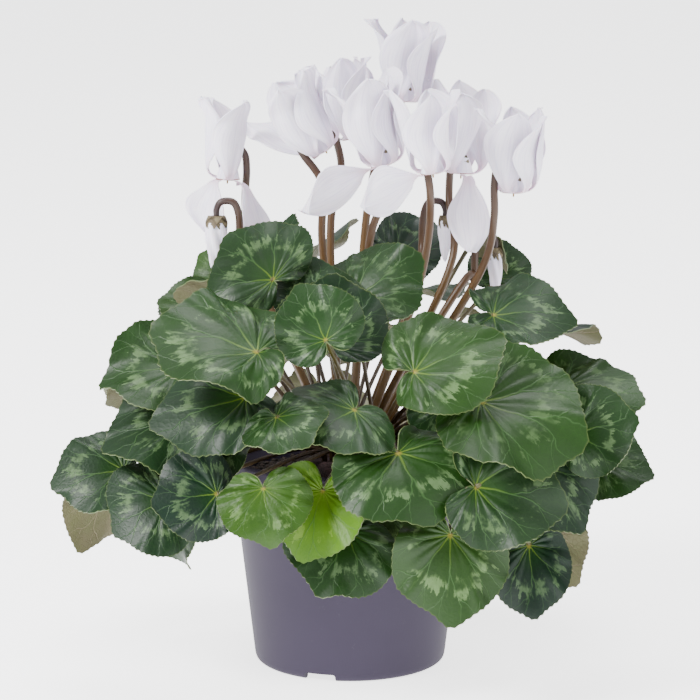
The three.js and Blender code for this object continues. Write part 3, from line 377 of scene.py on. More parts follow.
def grid_normals(grid):
    normal = np.cross(np.gradient(grid, axis=1), np.gradient(grid, axis=0))
    length = norm(normal, axis=2, keepdims=True)
    return normal / np.maximum(length, 1e-9)


def tube(sheaf, centres, radii, sides, slot, tint=GREY):
    """A round tube with closed ends along a line of points, carried along without twist."""
    centres = vec(centres)
    ahead = np.gradient(centres, axis=0)
    ahead /= norm(ahead, axis=1, keepdims=True)
    side = unit(np.cross(ahead[0], (0.3, 1, 0.2)))
    turns = np.linspace(0, TURN, sides, endpoint=False)
    travelled = np.append(0, np.cumsum(norm(np.diff(centres, axis=0), axis=1)))
    points, flat = [], []
    for centre, way, radius, far in zip(centres, ahead, radii, travelled):
        side = unit(side - way * np.dot(side, way))
        other = np.cross(way, side)
        ring = np.outer(np.cos(turns), side) + np.outer(np.sin(turns), other)
        points.append(centre + radius * ring)
        flat.append(np.column_stack([np.full(sides, far / travelled[-1]), turns / TURN]))
    rows = len(centres)
    sheaf.add(points, grid_faces(rows, sides, closed=True), slot, np.vstack(flat), tint=tint)
    sheaf.faces += end_faces(sheaf.count - rows * sides, sheaf.count - sides, sides)
    sheaf.slots += [slot, slot]


def turned(profile, segments):
    """Points and faces of a shape turned about the pot's axis."""
    turns = np.linspace(0, TURN, segments, endpoint=False)
    points = [(r * cos(turn), r * sin(turn), z) for r, z in profile for turn in turns]
    return np.array(points), grid_faces(len(profile), segments, closed=True)


def rounded(profile, reach=0.8, steps=3):
    """The profile with its inner corners rounded off by short arcs."""
    out = [profile[0]]
    for before, corner, after in zip(profile, profile[1:], profile[2:]):
        corner = vec(corner)
        ends = []
        for way in (before - corner, after - corner):
            length = norm(way)
            ends.append(corner + way / length * min(reach, 0.4 * length))
        for t in np.arange(steps + 1) / steps:
            out.append((1 - t) ** 2 * ends[0] + 2 * t * (1 - t) * corner + t * t * ends[1])
    return out + [profile[-1]]


def settle(piece, node):
    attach(piece, "root")
    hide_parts(node)


# ---- node materials
def adds_node(operation):
    return lambda value, other: value.shader.math(operation, value, other)


class Value:
    """A number that nodes work out. Sums written with it add the nodes for them."""

    __add__ = adds_node("ADD")
    __sub__ = adds_node("SUBTRACT")
    __mul__ = adds_node("MULTIPLY")
    __truediv__ = adds_node("DIVIDE")

    def __init__(self, shader, socket):
        self.shader, self.socket = shader, socket

    def step(self, low, high):
        """A soft step from 0 at low to 1 at high; low may be the greater."""
        inputs = {"Value": self, "From Min": low, "From Max": high}
        made = self.shader.node("MapRange", inputs, interpolation_type="SMOOTHSTEP")
        return Value(self.shader, made.outputs["Result"])


class Shader:
    """A node material with a Principled surface, and short calls that add nodes to it."""

    def __init__(self, name, roughness, **numbers):
        self.material = bpy.data.materials.new(name)
        self.material.use_nodes = True
        self.tree = self.material.node_tree
        self.surface = self.tree.nodes["Principled BSDF"]
        self.surface.inputs["Roughness"].default_value = roughness
        for socket, value in numbers.items():
            self.surface.inputs[socket.replace("_", " ")].default_value = value

    def node(self, kind, inputs=(), **settings):
        made = self.tree.nodes.new("ShaderNode" + kind)
        for key, value in settings.items():
            setattr(made, key, value)
        for socket, given in dict(inputs).items():
            self.link(given, made.inputs[socket])
        return made

    def link(self, source, target):
        if isinstance(source, (int, float)):
            target.default_value = source
        elif isinstance(source, tuple):
            target.default_value = (*source, 1)
        else:
            self.tree.links.new(getattr(source, "socket", source), target)

    def math(self, operation, *given):
        made = self.node("Math", enumerate(given), operation=operation)
        return Value(self, made.outputs[0])

    def mix(self, part, first, second):
        made = self.node("Mix", {0: part, 6: first, 7: second}, data_type="RGBA")
        return made.outputs[2]

    def place(self, layer=None, stretch=(1, 1, 1), shift=0.0):
        """Pattern space: a UV layer, or the object's own space, stretched and shifted."""
        if layer:
            source = self.node("UVMap", uv_map=layer).outputs["UV"]
        else:
            source = self.node("TexCoord").outputs["Object"]
        spread = self.node("CombineXYZ", {0: shift, 1: shift, 2: shift})
        made = self.node("Mapping", {"Vector": source, "Location": spread.outputs[0]})
        made.inputs["Scale"].default_value = stretch
        return made.outputs["Vector"]

    def noise(self, place, scale, detail=3.0, roughness=0.55):
        inputs = {"Vector": place, "Scale": scale, "Detail": detail, "Roughness": roughness}
        return Value(self, self.node("TexNoise", inputs).outputs["Fac"])

    def cells(self, place, scale):
        inputs = {"Vector": place, "Scale": scale}
        made = self.node("TexVoronoi", inputs, feature="DISTANCE_TO_EDGE")
        return Value(self, made.outputs["Distance"])

    def parts(self, vector, kind="SeparateXYZ"):
        return [Value(self, part) for part in self.node(kind, {0: vector}).outputs]

    def tint(self):
        tint = self.node("Attribute", attribute_name="tint").outputs["Color"]
        return self.parts(tint, "SeparateColor")

    def coat(self, part, paint):
        """Paint over what is there so far, where the part is 1."""
        self.colour = self.mix(part, self.colour, paint)

    def finish(self, height=None, distance=0.0003, strength=0.6):
        self.link(self.colour, self.surface.inputs["Base Color"])
        if height is not None:
            inputs = {"Distance": distance, "Strength": strength, "Height": height}
            bump = self.node("Bump", inputs)
            self.link(bump.outputs[0], self.surface.inputs["Normal"])
        return self.material


class LeafShader(Shader):
    """One side of a blade, with what both sides share: places, veins and the leaf's tints."""

    def __init__(self, name, roughness, specular):
        super().__init__(name, roughness, Specular_IOR_Level=specular)
        self.pale, self.marked, self.own = self.tint()
        self.seed = self.own * 40.0
        self.flat = self.place("flat", shift=self.seed)
        wobble = self.noise(self.flat, 1.9) - 0.5
        self.reach, around, _ = self.parts(self.place("polar"))
        turns = ((around - 0.5) * TURN + wobble * 0.4) / VEIN_SPACING
        self.off_vein = self.math("ABSOLUTE", turns - self.math("ROUND", turns))
        self.veins = self.vein_mask()

    def vein_mask(self):
        """1 on the forked veins that run out from the stalk end, 0 between them."""
        off = self.off_vein * VEIN_SPACING
        for fork, spread in VEIN_FORKS:
            apart = self.math("MAXIMUM", self.reach - fork, 0.0)
            off = self.math("ABSOLUTE", off - apart * spread)
        width = self.reach * -VEIN_TAPER + VEIN_WIDTH
        return (off * self.reach).step(width, width * 0.2)

    def marbling(self):
        """A broken ring of silvery marks: soft inside, feathered outwards, parted by the veins."""
        drift = self.noise(self.flat, 1.7, 2.0) - 0.5
        past = self.reach - (drift * 0.5 + 0.6 + self.off_vein * 0.12)
        rays = self.noise(self.place("polar", (2.2, 70.0, 1.0), self.seed), 1.0, 4.0, 0.65)
        grain = self.noise(self.flat, 13.0, 4.0, 0.7)
        ragged = rays + grain * 0.5 - 0.75
        inner = (past + ragged * 0.45).step(-0.13, 0.0)
        outer = (past - (ragged * 0.75 + 0.07)).step(0.03, -0.02)
        present = self.noise(self.flat, 4.2, 3.0, 0.6).step(0.42, 0.56)
        marks = inner * outer * present * self.off_vein.step(0.02, 0.1) * (grain * 0.9 + 0.45)
        flecks = rays.step(0.6, 0.68) * past.step(0.3, 0.05) * past.step(-0.02, 0.05)
        return self.math("MINIMUM", self.math("MAXIMUM", marks, flecks * 0.55), 1.0)


def leaf_upper():
    leaf = LeafShader("leaf_upper", 0.42, 0.27)
    hue = leaf.math("FRACT", leaf.own * 7.3)
    blotch = leaf.noise(leaf.flat, 2.4, 4.0)
    blue = leaf.mix(blotch, (0.0008, 0.006, 0.003), (0.0025, 0.017, 0.0075))
    green = leaf.mix(blotch, (0.0012, 0.01, 0.001), (0.0045, 0.03, 0.0025))
    leaf.colour = leaf.mix(hue.step(0.2, 0.8), blue, green)
    leaf.coat(leaf.pale, leaf.mix(blotch, (0.03, 0.095, 0.001), (0.075, 0.17, 0.002)))
    # the eye of the blade and the net of fine veins are a fresher green
    fresh = leaf.mix(leaf.pale, (0.008, 0.045, 0.003), (0.09, 0.17, 0.004))
    leaf.coat(leaf.reach.step(0.5, 0.05) * 0.45, fresh)
    net = leaf.cells(leaf.flat, 15.0)
    leaf.coat(net.step(0.05, 0.0) * 0.16, fresh)
    silver = leaf.mix(leaf.pale, (0.09, 0.155, 0.065), (0.13, 0.23, 0.03))
    leaf.coat(leaf.marbling() * leaf.marked * 0.85, silver)
    vein_colour = leaf.mix(leaf.reach.step(0.0, 0.5), (0.1, 0.17, 0.01), (0.04, 0.1, 0.025))
    leaf.coat(leaf.veins * (leaf.reach * -0.5 + 0.75), vein_colour)
    leaf.coat(leaf.reach.step(0.07, 0.0), (0.2, 0.16, 0.02))
    leaf.coat(leaf.reach.step(0.98, 1.0) * 0.6, (0.055, 0.08, 0.02))
    height = net.step(0.0, 0.35) * 0.3 - leaf.veins + leaf.noise(leaf.flat, 34.0) * 0.2
    return leaf.finish(height, 0.0003, 0.35)


def leaf_under():
    leaf = LeafShader("leaf_under", 0.6, 0.3)
    mottle = leaf.noise(leaf.flat, 2.5, 4.0)
    leaf.colour = leaf.mix(mottle, (0.075, 0.09, 0.03), (0.12, 0.09, 0.06))
    leaf.coat(leaf.pale, (0.12, 0.17, 0.03))
    leaf.coat(leaf.veins * 0.6, (0.2, 0.17, 0.1))
    net = leaf.cells(leaf.flat, 15.0).step(0.07, 0.0)
    leaf.coat(net * 0.25, (0.07, 0.06, 0.03))
    return leaf.finish(leaf.veins + net * 0.4, 0.0004)


def leaf_margin():
    shader = Shader("leaf_margin", 0.5)
    grain = shader.noise(shader.place(), 300.0)
    shader.colour = shader.mix(grain, (0.05, 0.085, 0.02), (0.1, 0.13, 0.04))
    return shader.finish()


def stem_material(name, foot, middle, head, roughness):
    """Three colours from foot to head, with fine lengthwise streaks and freckles."""
    shader = Shader(name, roughness)
    streaks = shader.noise(shader.place("flat", (1.5, 16.0, 1.0)), 2.0, 4.0)
    along = shader.parts(shader.place("flat"))[0] + (streaks - 0.5) * 0.5
    shader.colour = shader.mix(along.step(0.35, 0.75), foot, middle)
    shader.coat(along.step(0.75, 1.0), head)
    shader.coat(shader.noise(shader.place(), 900.0, 2.0).step(0.6, 0.75) * 0.35, head)
    return shader.finish(streaks, 0.0002, 0.5)


def petal_material():
    shader = Shader("petal", 0.5, Specular_IOR_Level=0.25, Subsurface_Weight=0.1,
                    Subsurface_Scale=0.002, Sheen_Weight=0.1, Sheen_Roughness=0.4)
    along = shader.parts(shader.place("flat"))[0]
    streaks = shader.noise(shader.place("flat", (2.0, 26.0, 1.0)), 1.0, 4.0, 0.6)
    clouds = shader.noise(shader.place(), 60.0)
    shader.colour = shader.mix(clouds, (0.8, 0.75, 0.87), (0.92, 0.89, 0.95))
    # lilac streaks along the petal: partly faint veins, partly painted shade along its folds
    shader.coat(streaks.step(0.4, 0.72) * 0.45, (0.5, 0.43, 0.64))
    # the foot of each petal: a real pink blush, darkened there as painted shade near the base and
    # inside the bloom
    shader.coat(along.step(0.3, 0.02) * 0.55, (0.62, 0.38, 0.48))
    return shader.finish(streaks, 0.0004)


def plain_material(name, roughness, first, second, scale, bump=0.0004, strength=0.6):
    """Two mottled colours and a fine grain, in the object's own space."""
    shader = Shader(name, roughness)
    mottle = shader.noise(shader.place(), scale, 5.0, 0.6)
    grain = shader.noise(shader.place(), scale * 9)
    shader.colour = shader.mix(mottle.step(0.35, 0.65), first, second)
    return shader.finish(mottle + grain, bump, strength)


def pot_material():
    shader = Shader("pot_plastic", 0.62, Specular_IOR_Level=0.2)
    mottle = shader.noise(shader.place(), 30.0, 4.0)
    shader.colour = shader.mix(mottle, (0.03, 0.0235, 0.042), (0.037, 0.0295, 0.051))
    dust = shader.noise(shader.place(), 260.0, 5.0, 0.7).step(0.62, 0.8)
    shader.coat(dust * 0.25, (0.1, 0.09, 0.11))
    return shader.finish(shader.noise(shader.place(), 1500.0, 2.0), 0.0001, 0.35)


LEAF_MATERIALS = [leaf_upper(), leaf_under(), leaf_margin(),
                  stem_material("leaf_stalk", (0.035, 0.018, 0.004), (0.04, 0.028, 0.004),
                                (0.055, 0.05, 0.006), 0.45)]
UPPER, UNDER, MARGIN, STALK = range(4)
STEM = stem_material("flower_stem", (0.085, 0.04, 0.003), (0.055, 0.022, 0.004),
                     (0.02, 0.006, 0.006), 0.4)
PETAL = petal_material()
MOUTH = plain_material("bloom_mouth", 0.6, (0.4, 0.22, 0.2), (0.3, 0.12, 0.09), 500.0)
CALYX = plain_material("calyx", 0.6, (0.08, 0.055, 0.03), (0.15, 0.12, 0.06), 400.0)
ANTHER = plain_material("anthers", 0.6, (0.3, 0.18, 0.03), (0.24, 0.11, 0.02), 700.0)
CORK = plain_material("tuber_cork", 0.9, (0.012, 0.005, 0.006), (0.045, 0.02, 0.02), 160.0, 0.001, 0.9)
PEAT = plain_material("peat", 0.95, (0.006, 0.004, 0.003), (0.028, 0.016, 0.011), 300.0, 0.001, 0.9)
POT = pot_material()


# ---- leaf blades
def bend(length, curvature):
    """How far a bent strip reaches along and away from its straight line."""
    if abs(curvature) < 0.01:
        return length, np.zeros_like(length)
    angle = curvature * length
    return np.sin(angle) / curvature, (1 - np.cos(angle)) / curvature


def blade_radius(angle):
    plain = 1 - BLADE_ROUNDNESS + BLADE_ROUNDNESS * np.cos(angle)
    point = BLADE_POINT * np.exp(-((angle / BLADE_POINT_SPREAD) ** 2))
    from_sinus = np.minimum(1, (pi - SINUS - np.abs(angle)) / LOBE_ROUNDING)
    return (plain + point) * np.sqrt(from_sinus * (2 - from_sinus))


def blade_frame(leaf):
    """The way the blade sets out, its upper side's way, its left, and its length."""
    along = unit(leaf["tip"])
    face = vec(leaf["face"])
    rise = unit(face - along * np.dot(face, along))
    half = leaf["arch"] / 2
    up = rise * cos(half) - along * sin(half)
    along = along * cos(half) + rise * sin(half)
    length = norm(leaf["tip"]) * half / sin(half)
    return along, up, np.cross(up, along), length


def blade_points(leaf, reach, angle, relief=0):
    """The upper side of a blade; relief raises it, as a part of its length."""
    along, up, side, length = blade_frame(leaf)
    radius = reach * blade_radius(angle)
    forward, drop = bend(radius * np.cos(angle), leaf["arch"])
    across = radius * np.sin(angle) * leaf["wide"]
    sideways, fall = np.where(across > 0, *(bend(across, curl) for curl in leaf["curl"]))
    sunk = FUNNEL * (1 - np.exp(-((reach / FUNNEL_SPREAD) ** 2)))
    wave = leaf["wave"] * reach ** WAVE_GROWTH * np.sin(MARGIN_WAVES * angle + leaf["phase"])
    height = sunk + wave - drop - fall + relief
    parts = (forward[..., None] * along, sideways[..., None] * side, height[..., None] * up)
    return vec(leaf["at"]) + length * sum(parts)


def vein_distance(reach, angle):
    off = np.abs(angle - VEIN_SPACING * np.round(angle / VEIN_SPACING))
    for fork, spread in VEIN_FORKS:
        off = np.abs(off - spread * np.maximum(reach - fork, 0))
    return off * reach


def noise_round(angles, detail, shift):
    """Soft noise along a circle, so that it changes gently with the angle."""
    return np.array([soft_noise(heading(a) * detail + shift) for a in angles])


def blade_outline(reach, angle, rng):
    """How far out the blade's rings run: a drawn-out tip, a swaying outline and fine teeth."""
    angles = angle[0]
    uneven = 0.7 + 0.6 * np.array([rng.random() for _ in angles])
    teeth = TOOTH_DEPTH * (np.arange(len(angles)) % 2 * uneven - 0.5)
    shift = rng.random() * 50
    sway = OUTLINE_SWAY * noise_round(angles, OUTLINE_DETAIL, UP * shift)
    point = TIP_POINT * np.exp(-(angle / TIP_SPREAD) ** 2)
    outer = reach + (point + sway) * smooth_step(0.3, 1, reach)
    outer[-1] += teeth
    outer[-2] += 0.5 * teeth
    return outer


def blade_relief(reach, angle, rng):
    """Sunken veins and midrib, puckers between the veins and a ruffled edge."""
    veins = np.exp(-((vein_distance(reach, angle) / VEIN_GROOVE) ** 2))
    pucker = np.sin(pi * np.abs(angle / VEIN_SPACING - np.round(angle / VEIN_SPACING)) * 2)
    relief = PUCKER * reach * (1 - reach) * 4 * pucker
    relief -= VEIN_DEPTH * veins * smooth_step(0.05, 0.3, reach)
    midrib = np.exp(-(reach * np.sin(angle) / MIDRIB_SPREAD) ** 2)
    relief -= MIDRIB_FOLD * midrib * smooth_step(-0.1, 0.4, reach * np.cos(angle))
    shift = rng.random() * 50
    ruffle = np.array([noise_round(angle[0], RUFFLE_DETAIL, (shift, 0, r)) for r in reach[:, 0]])
    relief += RUFFLE * ruffle * reach ** WAVE_GROWTH
    room = np.where(relief < 0, SUNK_AT_MOST, RAISED_AT_MOST)
    return room * np.tanh(relief / room)


def add_blade(sheaf, leaf, rng):
    """A thin blade with veins, puckers and a finely toothed margin."""
    angles = np.linspace(-BLADE_EDGE, BLADE_EDGE, 2 * TEETH + 1)
    reach, angle = np.meshgrid(BLADE_RINGS, angles, indexing="ij")
    outer = blade_outline(reach, angle, rng)
    top = blade_points(leaf, outer, angle, blade_relief(reach, angle, rng))
    up = blade_frame(leaf)[1]
    normal = -grid_normals(top)
    normal[0] = up
    normal *= np.median(np.sign(np.sum(normal * up, axis=2)))
    top[0] = top[0].mean(0)
    radius = reach * blade_radius(angle)
    flat = np.stack([radius * np.cos(angle), radius * np.sin(angle)], -1).reshape(-1, 2)
    polar = np.stack([reach, angle / TURN + 0.5], -1).reshape(-1, 2)
    low = top - BLADE_THICKNESS * normal
    sheaf.add_sheet(top, low, (UPPER, UNDER, MARGIN), flat, polar, leaf["tint"])


# ---- leaf stalks
def bezier(points, t):
    a, b, c, d = map(vec, points)
    t = vec(t)[..., None]
    return (1 - t) ** 3 * a + 3 * (1 - t) ** 2 * t * b + 3 * (1 - t) * t * t * c + t ** 3 * d


def stalk_line(base, leaf, bow):
    side, rise, reach = bow
    end = vec(leaf["at"])
    outward = unit((end[0], end[1], 0))
    across = np.array((-outward[1], outward[0], 0))
    along, up, _, _ = blade_frame(leaf)
    first = base + 6 * outward + 16 * UP
    last = end - reach * unit(0.8 * up + 0.6 * along)
    for point, part in ((first, 0.1), (last, 1)):
        point += across * side * part
        point[2] += rise * part
    return base, first, last, end


def leaf_corners():
    """Every corner of the leaf solids, in millimetres, with the node it belongs to."""
    names, places = [], []
    for name in sorted(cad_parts):
        if name.startswith("leaf_pair"):
            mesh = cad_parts[name].data
            corners = {tuple(round(c / MM, 3) for c in v.co) for v in mesh.vertices}
            names += [name] * len(corners)
            places += sorted(corners)
    tree = KDTree(len(places))
    for i, place in enumerate(places):
        tree.insert(place, i)
    tree.balance()
    return tree, np.array(names), np.array(places)


def find_leaf(leaf, tree, names):
    """Where the blade's solid lies: it may have been moved outwards to clear the others."""
    steps = np.arange(2 * BLADE_SPOKES + 1) / BLADE_SPOKES - 1
    start = vec(leaf["at"])
    outward = unit(start - HEART)
    best = (1e9, None, None)
    for lift in range(LIFT_STEPS + 1):
        leaf["at"] = start + lift * LIFT_STEP * outward
        margin = blade_points(leaf, np.ones_like(steps), BLADE_EDGE * steps)
        hits = sorted((tree.find(p) for p in margin), key=lambda hit: hit[2])
        miss = sum(hit[2] for hit in hits[:CORNERS_COMPARED])
        if miss < best[0]:
            best = (miss, leaf["at"], names[hits[0][1]])
    _, leaf["at"], leaf["node"] = best


def find_stalk(leaf, base, tree):
    """The line of the leaf's stalk: rings of four corners of its solid lie round it."""
    best = (1e9, None)
    for bow in STALK_BOWS:
        line = stalk_line(base, leaf, bow)
        miss = 0
        for centre in bezier(line, (0.25, 0.5, 0.75)):
            found = [hit[0] for hit in tree.find_n(centre, 4)]
            miss += (sum(found, Vector()) / 4 - Vector(centre)).length
        if miss < best[0]:
            best = (miss, line)
    return best[1]


def make_leaves():
    tree, names, places = leaf_corners()
    pairs = {}
    for i, (at, tip, face, *shape) in enumerate(LEAVES):
        leaf = {**PLAIN_LEAF, "at": at, "tip": tip, "face": face, "phase": WAVE_TURN * i}
        leaf.update(zip(("wide", "curl", "arch"), shape))
        rng = random.Random(100 + i)
        pale = LEAF_LIGHT.get(i, 0.0) + 0.1 * rng.random()
        leaf["tint"] = (min(1, pale), 0.45 + 0.55 * rng.random(), rng.random())
        find_leaf(leaf, tree, names)
        pairs.setdefault(leaf["node"], []).append((leaf, rng))
    for name, pair in sorted(pairs.items()):
        sheaf = Sheaf()
        corners = places[names == name]
        at_foot = np.abs(corners[:, 2] - (TUBER_TOP - ROOTED)) < 0.01
        in_crown = np.hypot(corners[:, 0], corners[:, 1]) < TUBER_RADIUS
        foot = corners[at_foot & in_crown].mean(0)
        base = np.array((foot[0], foot[1], TUBER_TOP + STALK_RISE))
        for leaf, rng in pair:
            add_blade(sheaf, leaf, rng)
            line = bezier(find_stalk(leaf, base, tree), np.linspace(0, 1, STALK_STEPS))
            line[-1] -= STALK_SUNK * blade_frame(leaf)[1]
            line = np.vstack([foot, line])
            waist = STALK_WAIST * np.sin(np.linspace(0, pi, len(line)))
            tube(sheaf, line, STALK_RADIUS * (1 - waist), 10, STALK, leaf["tint"])
        sheaf.build(str(name), LEAF_MATERIALS)


# ---- flowers
def catmull(points, count):
    """A centripetal curve through the points, sampled at even parts of each span."""
    points = [vec(p) for p in points]
    points = [2 * points[0] - points[1], *points, 2 * points[-1] - points[-2]]
    line = []
    for p0, p1, p2, p3 in zip(points, points[1:], points[2:], points[3:]):
        d0, d1, d2 = (norm(b - a) ** 0.5 for a, b in ((p0, p1), (p1, p2), (p2, p3)))
        m1 = ((p1 - p0) / d0 - (p2 - p0) / (d0 + d1) + (p2 - p1) / d1) * d1
        m2 = ((p2 - p1) / d1 - (p3 - p1) / (d1 + d2) + (p3 - p2) / d2) * d1
        for t in np.arange(count) / count:
            line.append(p1 + m1 * t + (3 * (p2 - p1) - 2 * m1 - m2) * t * t
                        + (2 * (p1 - p2) + m1 + m2) * t ** 3)
    return np.array([*line, points[-2]])


def bloom_frame(lean):
    up = unit(lean)
    east = unit(np.array((1.0, 0, 0)) - up * up[0])
    return up, east, np.cross(up, east)


def outwards(axes, degrees):
    turn = radians(degrees)
    return axes[1] * cos(turn) + axes[2] * sin(turn)


def petal_width(along):
    if along < PETAL_WIDEST:
        return 1 - (1 - PETAL_FOOT) * (1 + cos(pi * along / PETAL_WIDEST)) / 2
    beyond = (along - PETAL_WIDEST) / (1 - PETAL_WIDEST)
    return max(0.02, cos(pi / 2 * beyond) ** TIP_ROUNDING)


def petal_midline(opening, length):
    """How far from the axis, how high and which way a petal runs, at each step along it."""
    away, height = MOUTH_RADIUS, 0.0
    line = [(away, height, radians(PETAL_FLARE))]
    for step in range(1, PETAL_STEPS + 1):
        turned_by = min(1, step / PETAL_STEPS / PETAL_TURN)
        angle = radians(PETAL_FLARE + (opening - PETAL_FLARE) * turned_by)
        away += sin(angle) * length / PETAL_STEPS
        height += cos(angle) * length / PETAL_STEPS
        line.append((away, height, angle))
    return np.array(line)


def crumple(along, spot, shift):
    """Soft lengthwise folds and a ruffled edge, in millimetres."""
    folds = cos(FOLDS * spot + shift) * sin(pi * min(1, along)) ** 0.5
    ruffle = soft_noise((shift + 2.6 * along, 1.9 * spot, 0.5)) * abs(spot) * along
    return FOLD_DEPTH * folds + RUFFLE_DEPTH * ruffle


def trough_point(axes, bearing, angle, foot, bent, turn, lifted):
    """From a petal's midline to a point of the shallow trough that is turned about it."""
    out = outwards(axes, bearing)
    inner = axes[0] * sin(angle) - out * cos(angle)
    level = LOOSE_CURL * sin(bent)
    raised = LOOSE_CURL * (1 - cos(bent)) - lifted - MOUTH_RADIUS * (1 - cos(foot))
    sideways = np.cross(axes[0], out) * (level * cos(turn) - raised * sin(turn))
    return sideways + inner * (level * sin(turn) + raised * cos(turn))


def add_petal(sheaf, bloom, axes, petal, sector, rng):
    """A broad thin petal: an upright one wraps round the axis in a spiral, a spreading or
    hanging one is a shallow trough that twists about its midline."""
    bearing, opening, length, *twist = petal
    midline = petal_midline(opening, length)
    alongs = [*np.linspace(0, PETAL_TURN, 10)[:-1], *np.linspace(PETAL_TURN, 1, 32)]
    shift = rng.random() * 40
    recurve = rng.uniform(-0.4, 1.0) * TIP_CURL
    rolled = rng.choice((-1, 1))
    breadth = rng.uniform(0.94, 1.1)
    rows, flat = [], []
    for along in alongs:
        away, height, angle = (np.interp(along * PETAL_STEPS, range(PETAL_STEPS + 1), column)
                               for column in midline.T)
        half = PETAL_WIDTH / 2 * petal_width(along) * breadth
        joined = max(0.0, 1 - along / (0.6 * PETAL_TURN))
        free = min(1, along / SPIRAL_REACH)
        centre = vec(bloom["at"]) + axes[0] * height
        for spot in np.linspace(-1, 1, PETAL_COLUMNS):
            foot = radians(sector[0] if spot < 0 else sector[1]) * joined
            lifted = crumple(along, spot, shift) * free + recurve * smooth_step(0.7, 1, along)
            lifted += EDGE_ROLL * max(0, spot * rolled) ** 2 * smooth_step(0.35, 0.9, along)
            if opening > SPREAD_OPENING:
                bent = spot * max(half, MOUTH_RADIUS * sin(foot)) / LOOSE_CURL
                midpoint = centre + outwards(axes, bearing) * away
                turn = sum(twist) * free
                rows.append(midpoint + trough_point(axes, bearing, angle, foot, bent, turn, lifted))
            else:
                about = spot * max(half / PETAL_WRAP, foot)
                reach = away - PETAL_SPIRAL * about * free + lifted
                turned_to = bearing + degrees(about) + PETAL_SWEEP * along
                rows.append(centre + outwards(axes, turned_to) * reach)
            flat.append((along, 0.5 + 0.5 * spot))
    top = np.array(rows).reshape(len(alongs), PETAL_COLUMNS, 3)
    low = top + PETAL_THICKNESS * grid_normals(top)
    sheaf.add_sheet(top, low, (0, 0, 0), flat, flip=True)


def add_round(sheaf, centre, axes, profile, slot, sides, flute, twist=0.0):
    """A turned form on an axis of its own, with five flutes that may spiral."""
    rows, flat = [], []
    for radius, height in profile:
        for j in range(sides):
            turn = TURN * j / sides
            swell = 1 + flute * cos(5 * (turn + twist * height))
            rows.append(centre + outwards(axes, 360 * j / sides) * radius * swell + axes[0] * height)
            flat.append((0.5, j / sides))
    sheaf.add(rows, grid_faces(len(profile), sides, closed=True), slot, flat)


def add_sepals(sheaf, top, axes, reach, length, slot, fullness=1.15):
    """Five pointed sepals that clasp the end of a tube or bud, pointing away from the stem."""
    for i in range(5):
        out = outwards(axes, 72 * i + 20)
        side = np.cross(axes[0], out)
        rows = []
        for along in np.linspace(0, 1, SEPAL_STEPS):
            half = 0.5 * reach * fullness * (1 - along) ** 0.7 * (1 + 0.6 * along)
            radius = reach * (0.25 + 0.85 * min(1, 2.2 * along)) + 0.25
            place = top + out * radius - axes[0] * (length * along)
            rows.append([place - side * half, place + out * 0.25, place + side * half])
        outer = np.array(rows)
        sheaf.add(outer, grid_faces(SEPAL_STEPS, 3), slot)
        sheaf.add(outer - SEPAL_THICKNESS * out, grid_faces(SEPAL_STEPS, 3, flip=True), slot)


def make_bloom(bloom, i):
    name = f"bloom_{i + 1:02d}"
    rng = random.Random(40 + i)
    axes = bloom_frame(bloom["lean"])
    up, mouth = axes[0], vec(bloom["at"])
    sheaf = Sheaf()
    petals = bloom["petals"]
    bearings = [petals[-1][0] - 360, *(petal[0] for petal in petals), petals[0][0] + 360]
    for petal, before, after in zip(petals, bearings, bearings[2:]):
        sector = ((petal[0] - before) / 2, (after - petal[0]) / 2)
        add_petal(sheaf, bloom, axes, petal, sector, rng)
    add_round(sheaf, mouth, axes, CUP, 1, 40, 0.05)
    add_round(sheaf, mouth, axes, TUBE, 0, 40, 0.04)
    add_sepals(sheaf, mouth + up * (TUBE_LENGTH + 0.4), axes, 3.2, 6, 2)
    add_round(sheaf, mouth + up * (TUBE_LENGTH - 1.4), axes, ANTHERS, 3, 20, 0.12)
    sheaf.build(name, [PETAL, MOUTH, CALYX, ANTHER])


def make_stem(flower, i, reach, spots):
    """A stem from the crown that hooks over to the tube of a bloom or the top of a bud."""
    name = f"flower_stem_{i + 1:02d}"
    axes = bloom_frame(flower.get("lean", UP))
    side = outwards(axes, flower["side"]) * reach
    hook = [flower["at"] + side * part + axes[0] * height for part, height in spots]
    base = np.array((*flower["root"], TUBER_TOP - ROOTED))
    line = catmull([base, base + UP * (ROOTED + 2), flower["mid"], *hook], 12)
    sheaf = Sheaf()
    tube(sheaf, line, np.interp(np.linspace(0, 1, len(line)), *STEM_TAPER), 14, 0)
    sheaf.build(name, [STEM])


def make_bud(bud, i):
    """A tightly rolled bud: white petals wound in a spiral under a brown-green calyx."""
    name = f"bud_{i + 1:02d}"
    side = heading(radians(bud["side"]))
    top = bud["at"] - side * BUD_HOOK - UP * (BUD_DROP + 2 * GAP)
    radius = BUD_RADIUS * bud["thick"]
    length = bud["length"]
    sheaf = Sheaf()
    axes = bloom_frame((0, 0, 1))
    steps = np.linspace(0, len(BUD_SHAPE) - 1, BUD_STEPS)
    across, down = (np.interp(steps, range(len(BUD_SHAPE)), column) for column in zip(*BUD_SHAPE))
    profile = np.column_stack([radius * BUD_NARROWED * across, -length * down])
    add_round(sheaf, top, axes, profile[::-1], 0, 60, 0.12, BUD_TWIST / length)
    add_sepals(sheaf, top + UP * 0.3, axes, radius * 0.72, 6.5, 1, 2.1)
    cap = [(radius * 0.86, -2.4), (radius * 0.8, -0.9), (radius * 0.62, 0.1), (radius * 0.3, 0.45),
           (0.05, 0.5)]
    add_round(sheaf, top, axes, cap, 1, 40, 0.06)
    sheaf.build(name, [PETAL, CALYX])


# ---- pot, soil and tuber
def prism(ring, moved):
    """Points and faces of a block between a ring of points and the same ring moved."""
    sides = len(ring)
    walls = [[j, (j + 1) % sides, sides + (j + 1) % sides, sides + j] for j in range(sides)]
    return [*ring, *(ring + moved)], walls + end_faces(0, sides, sides)


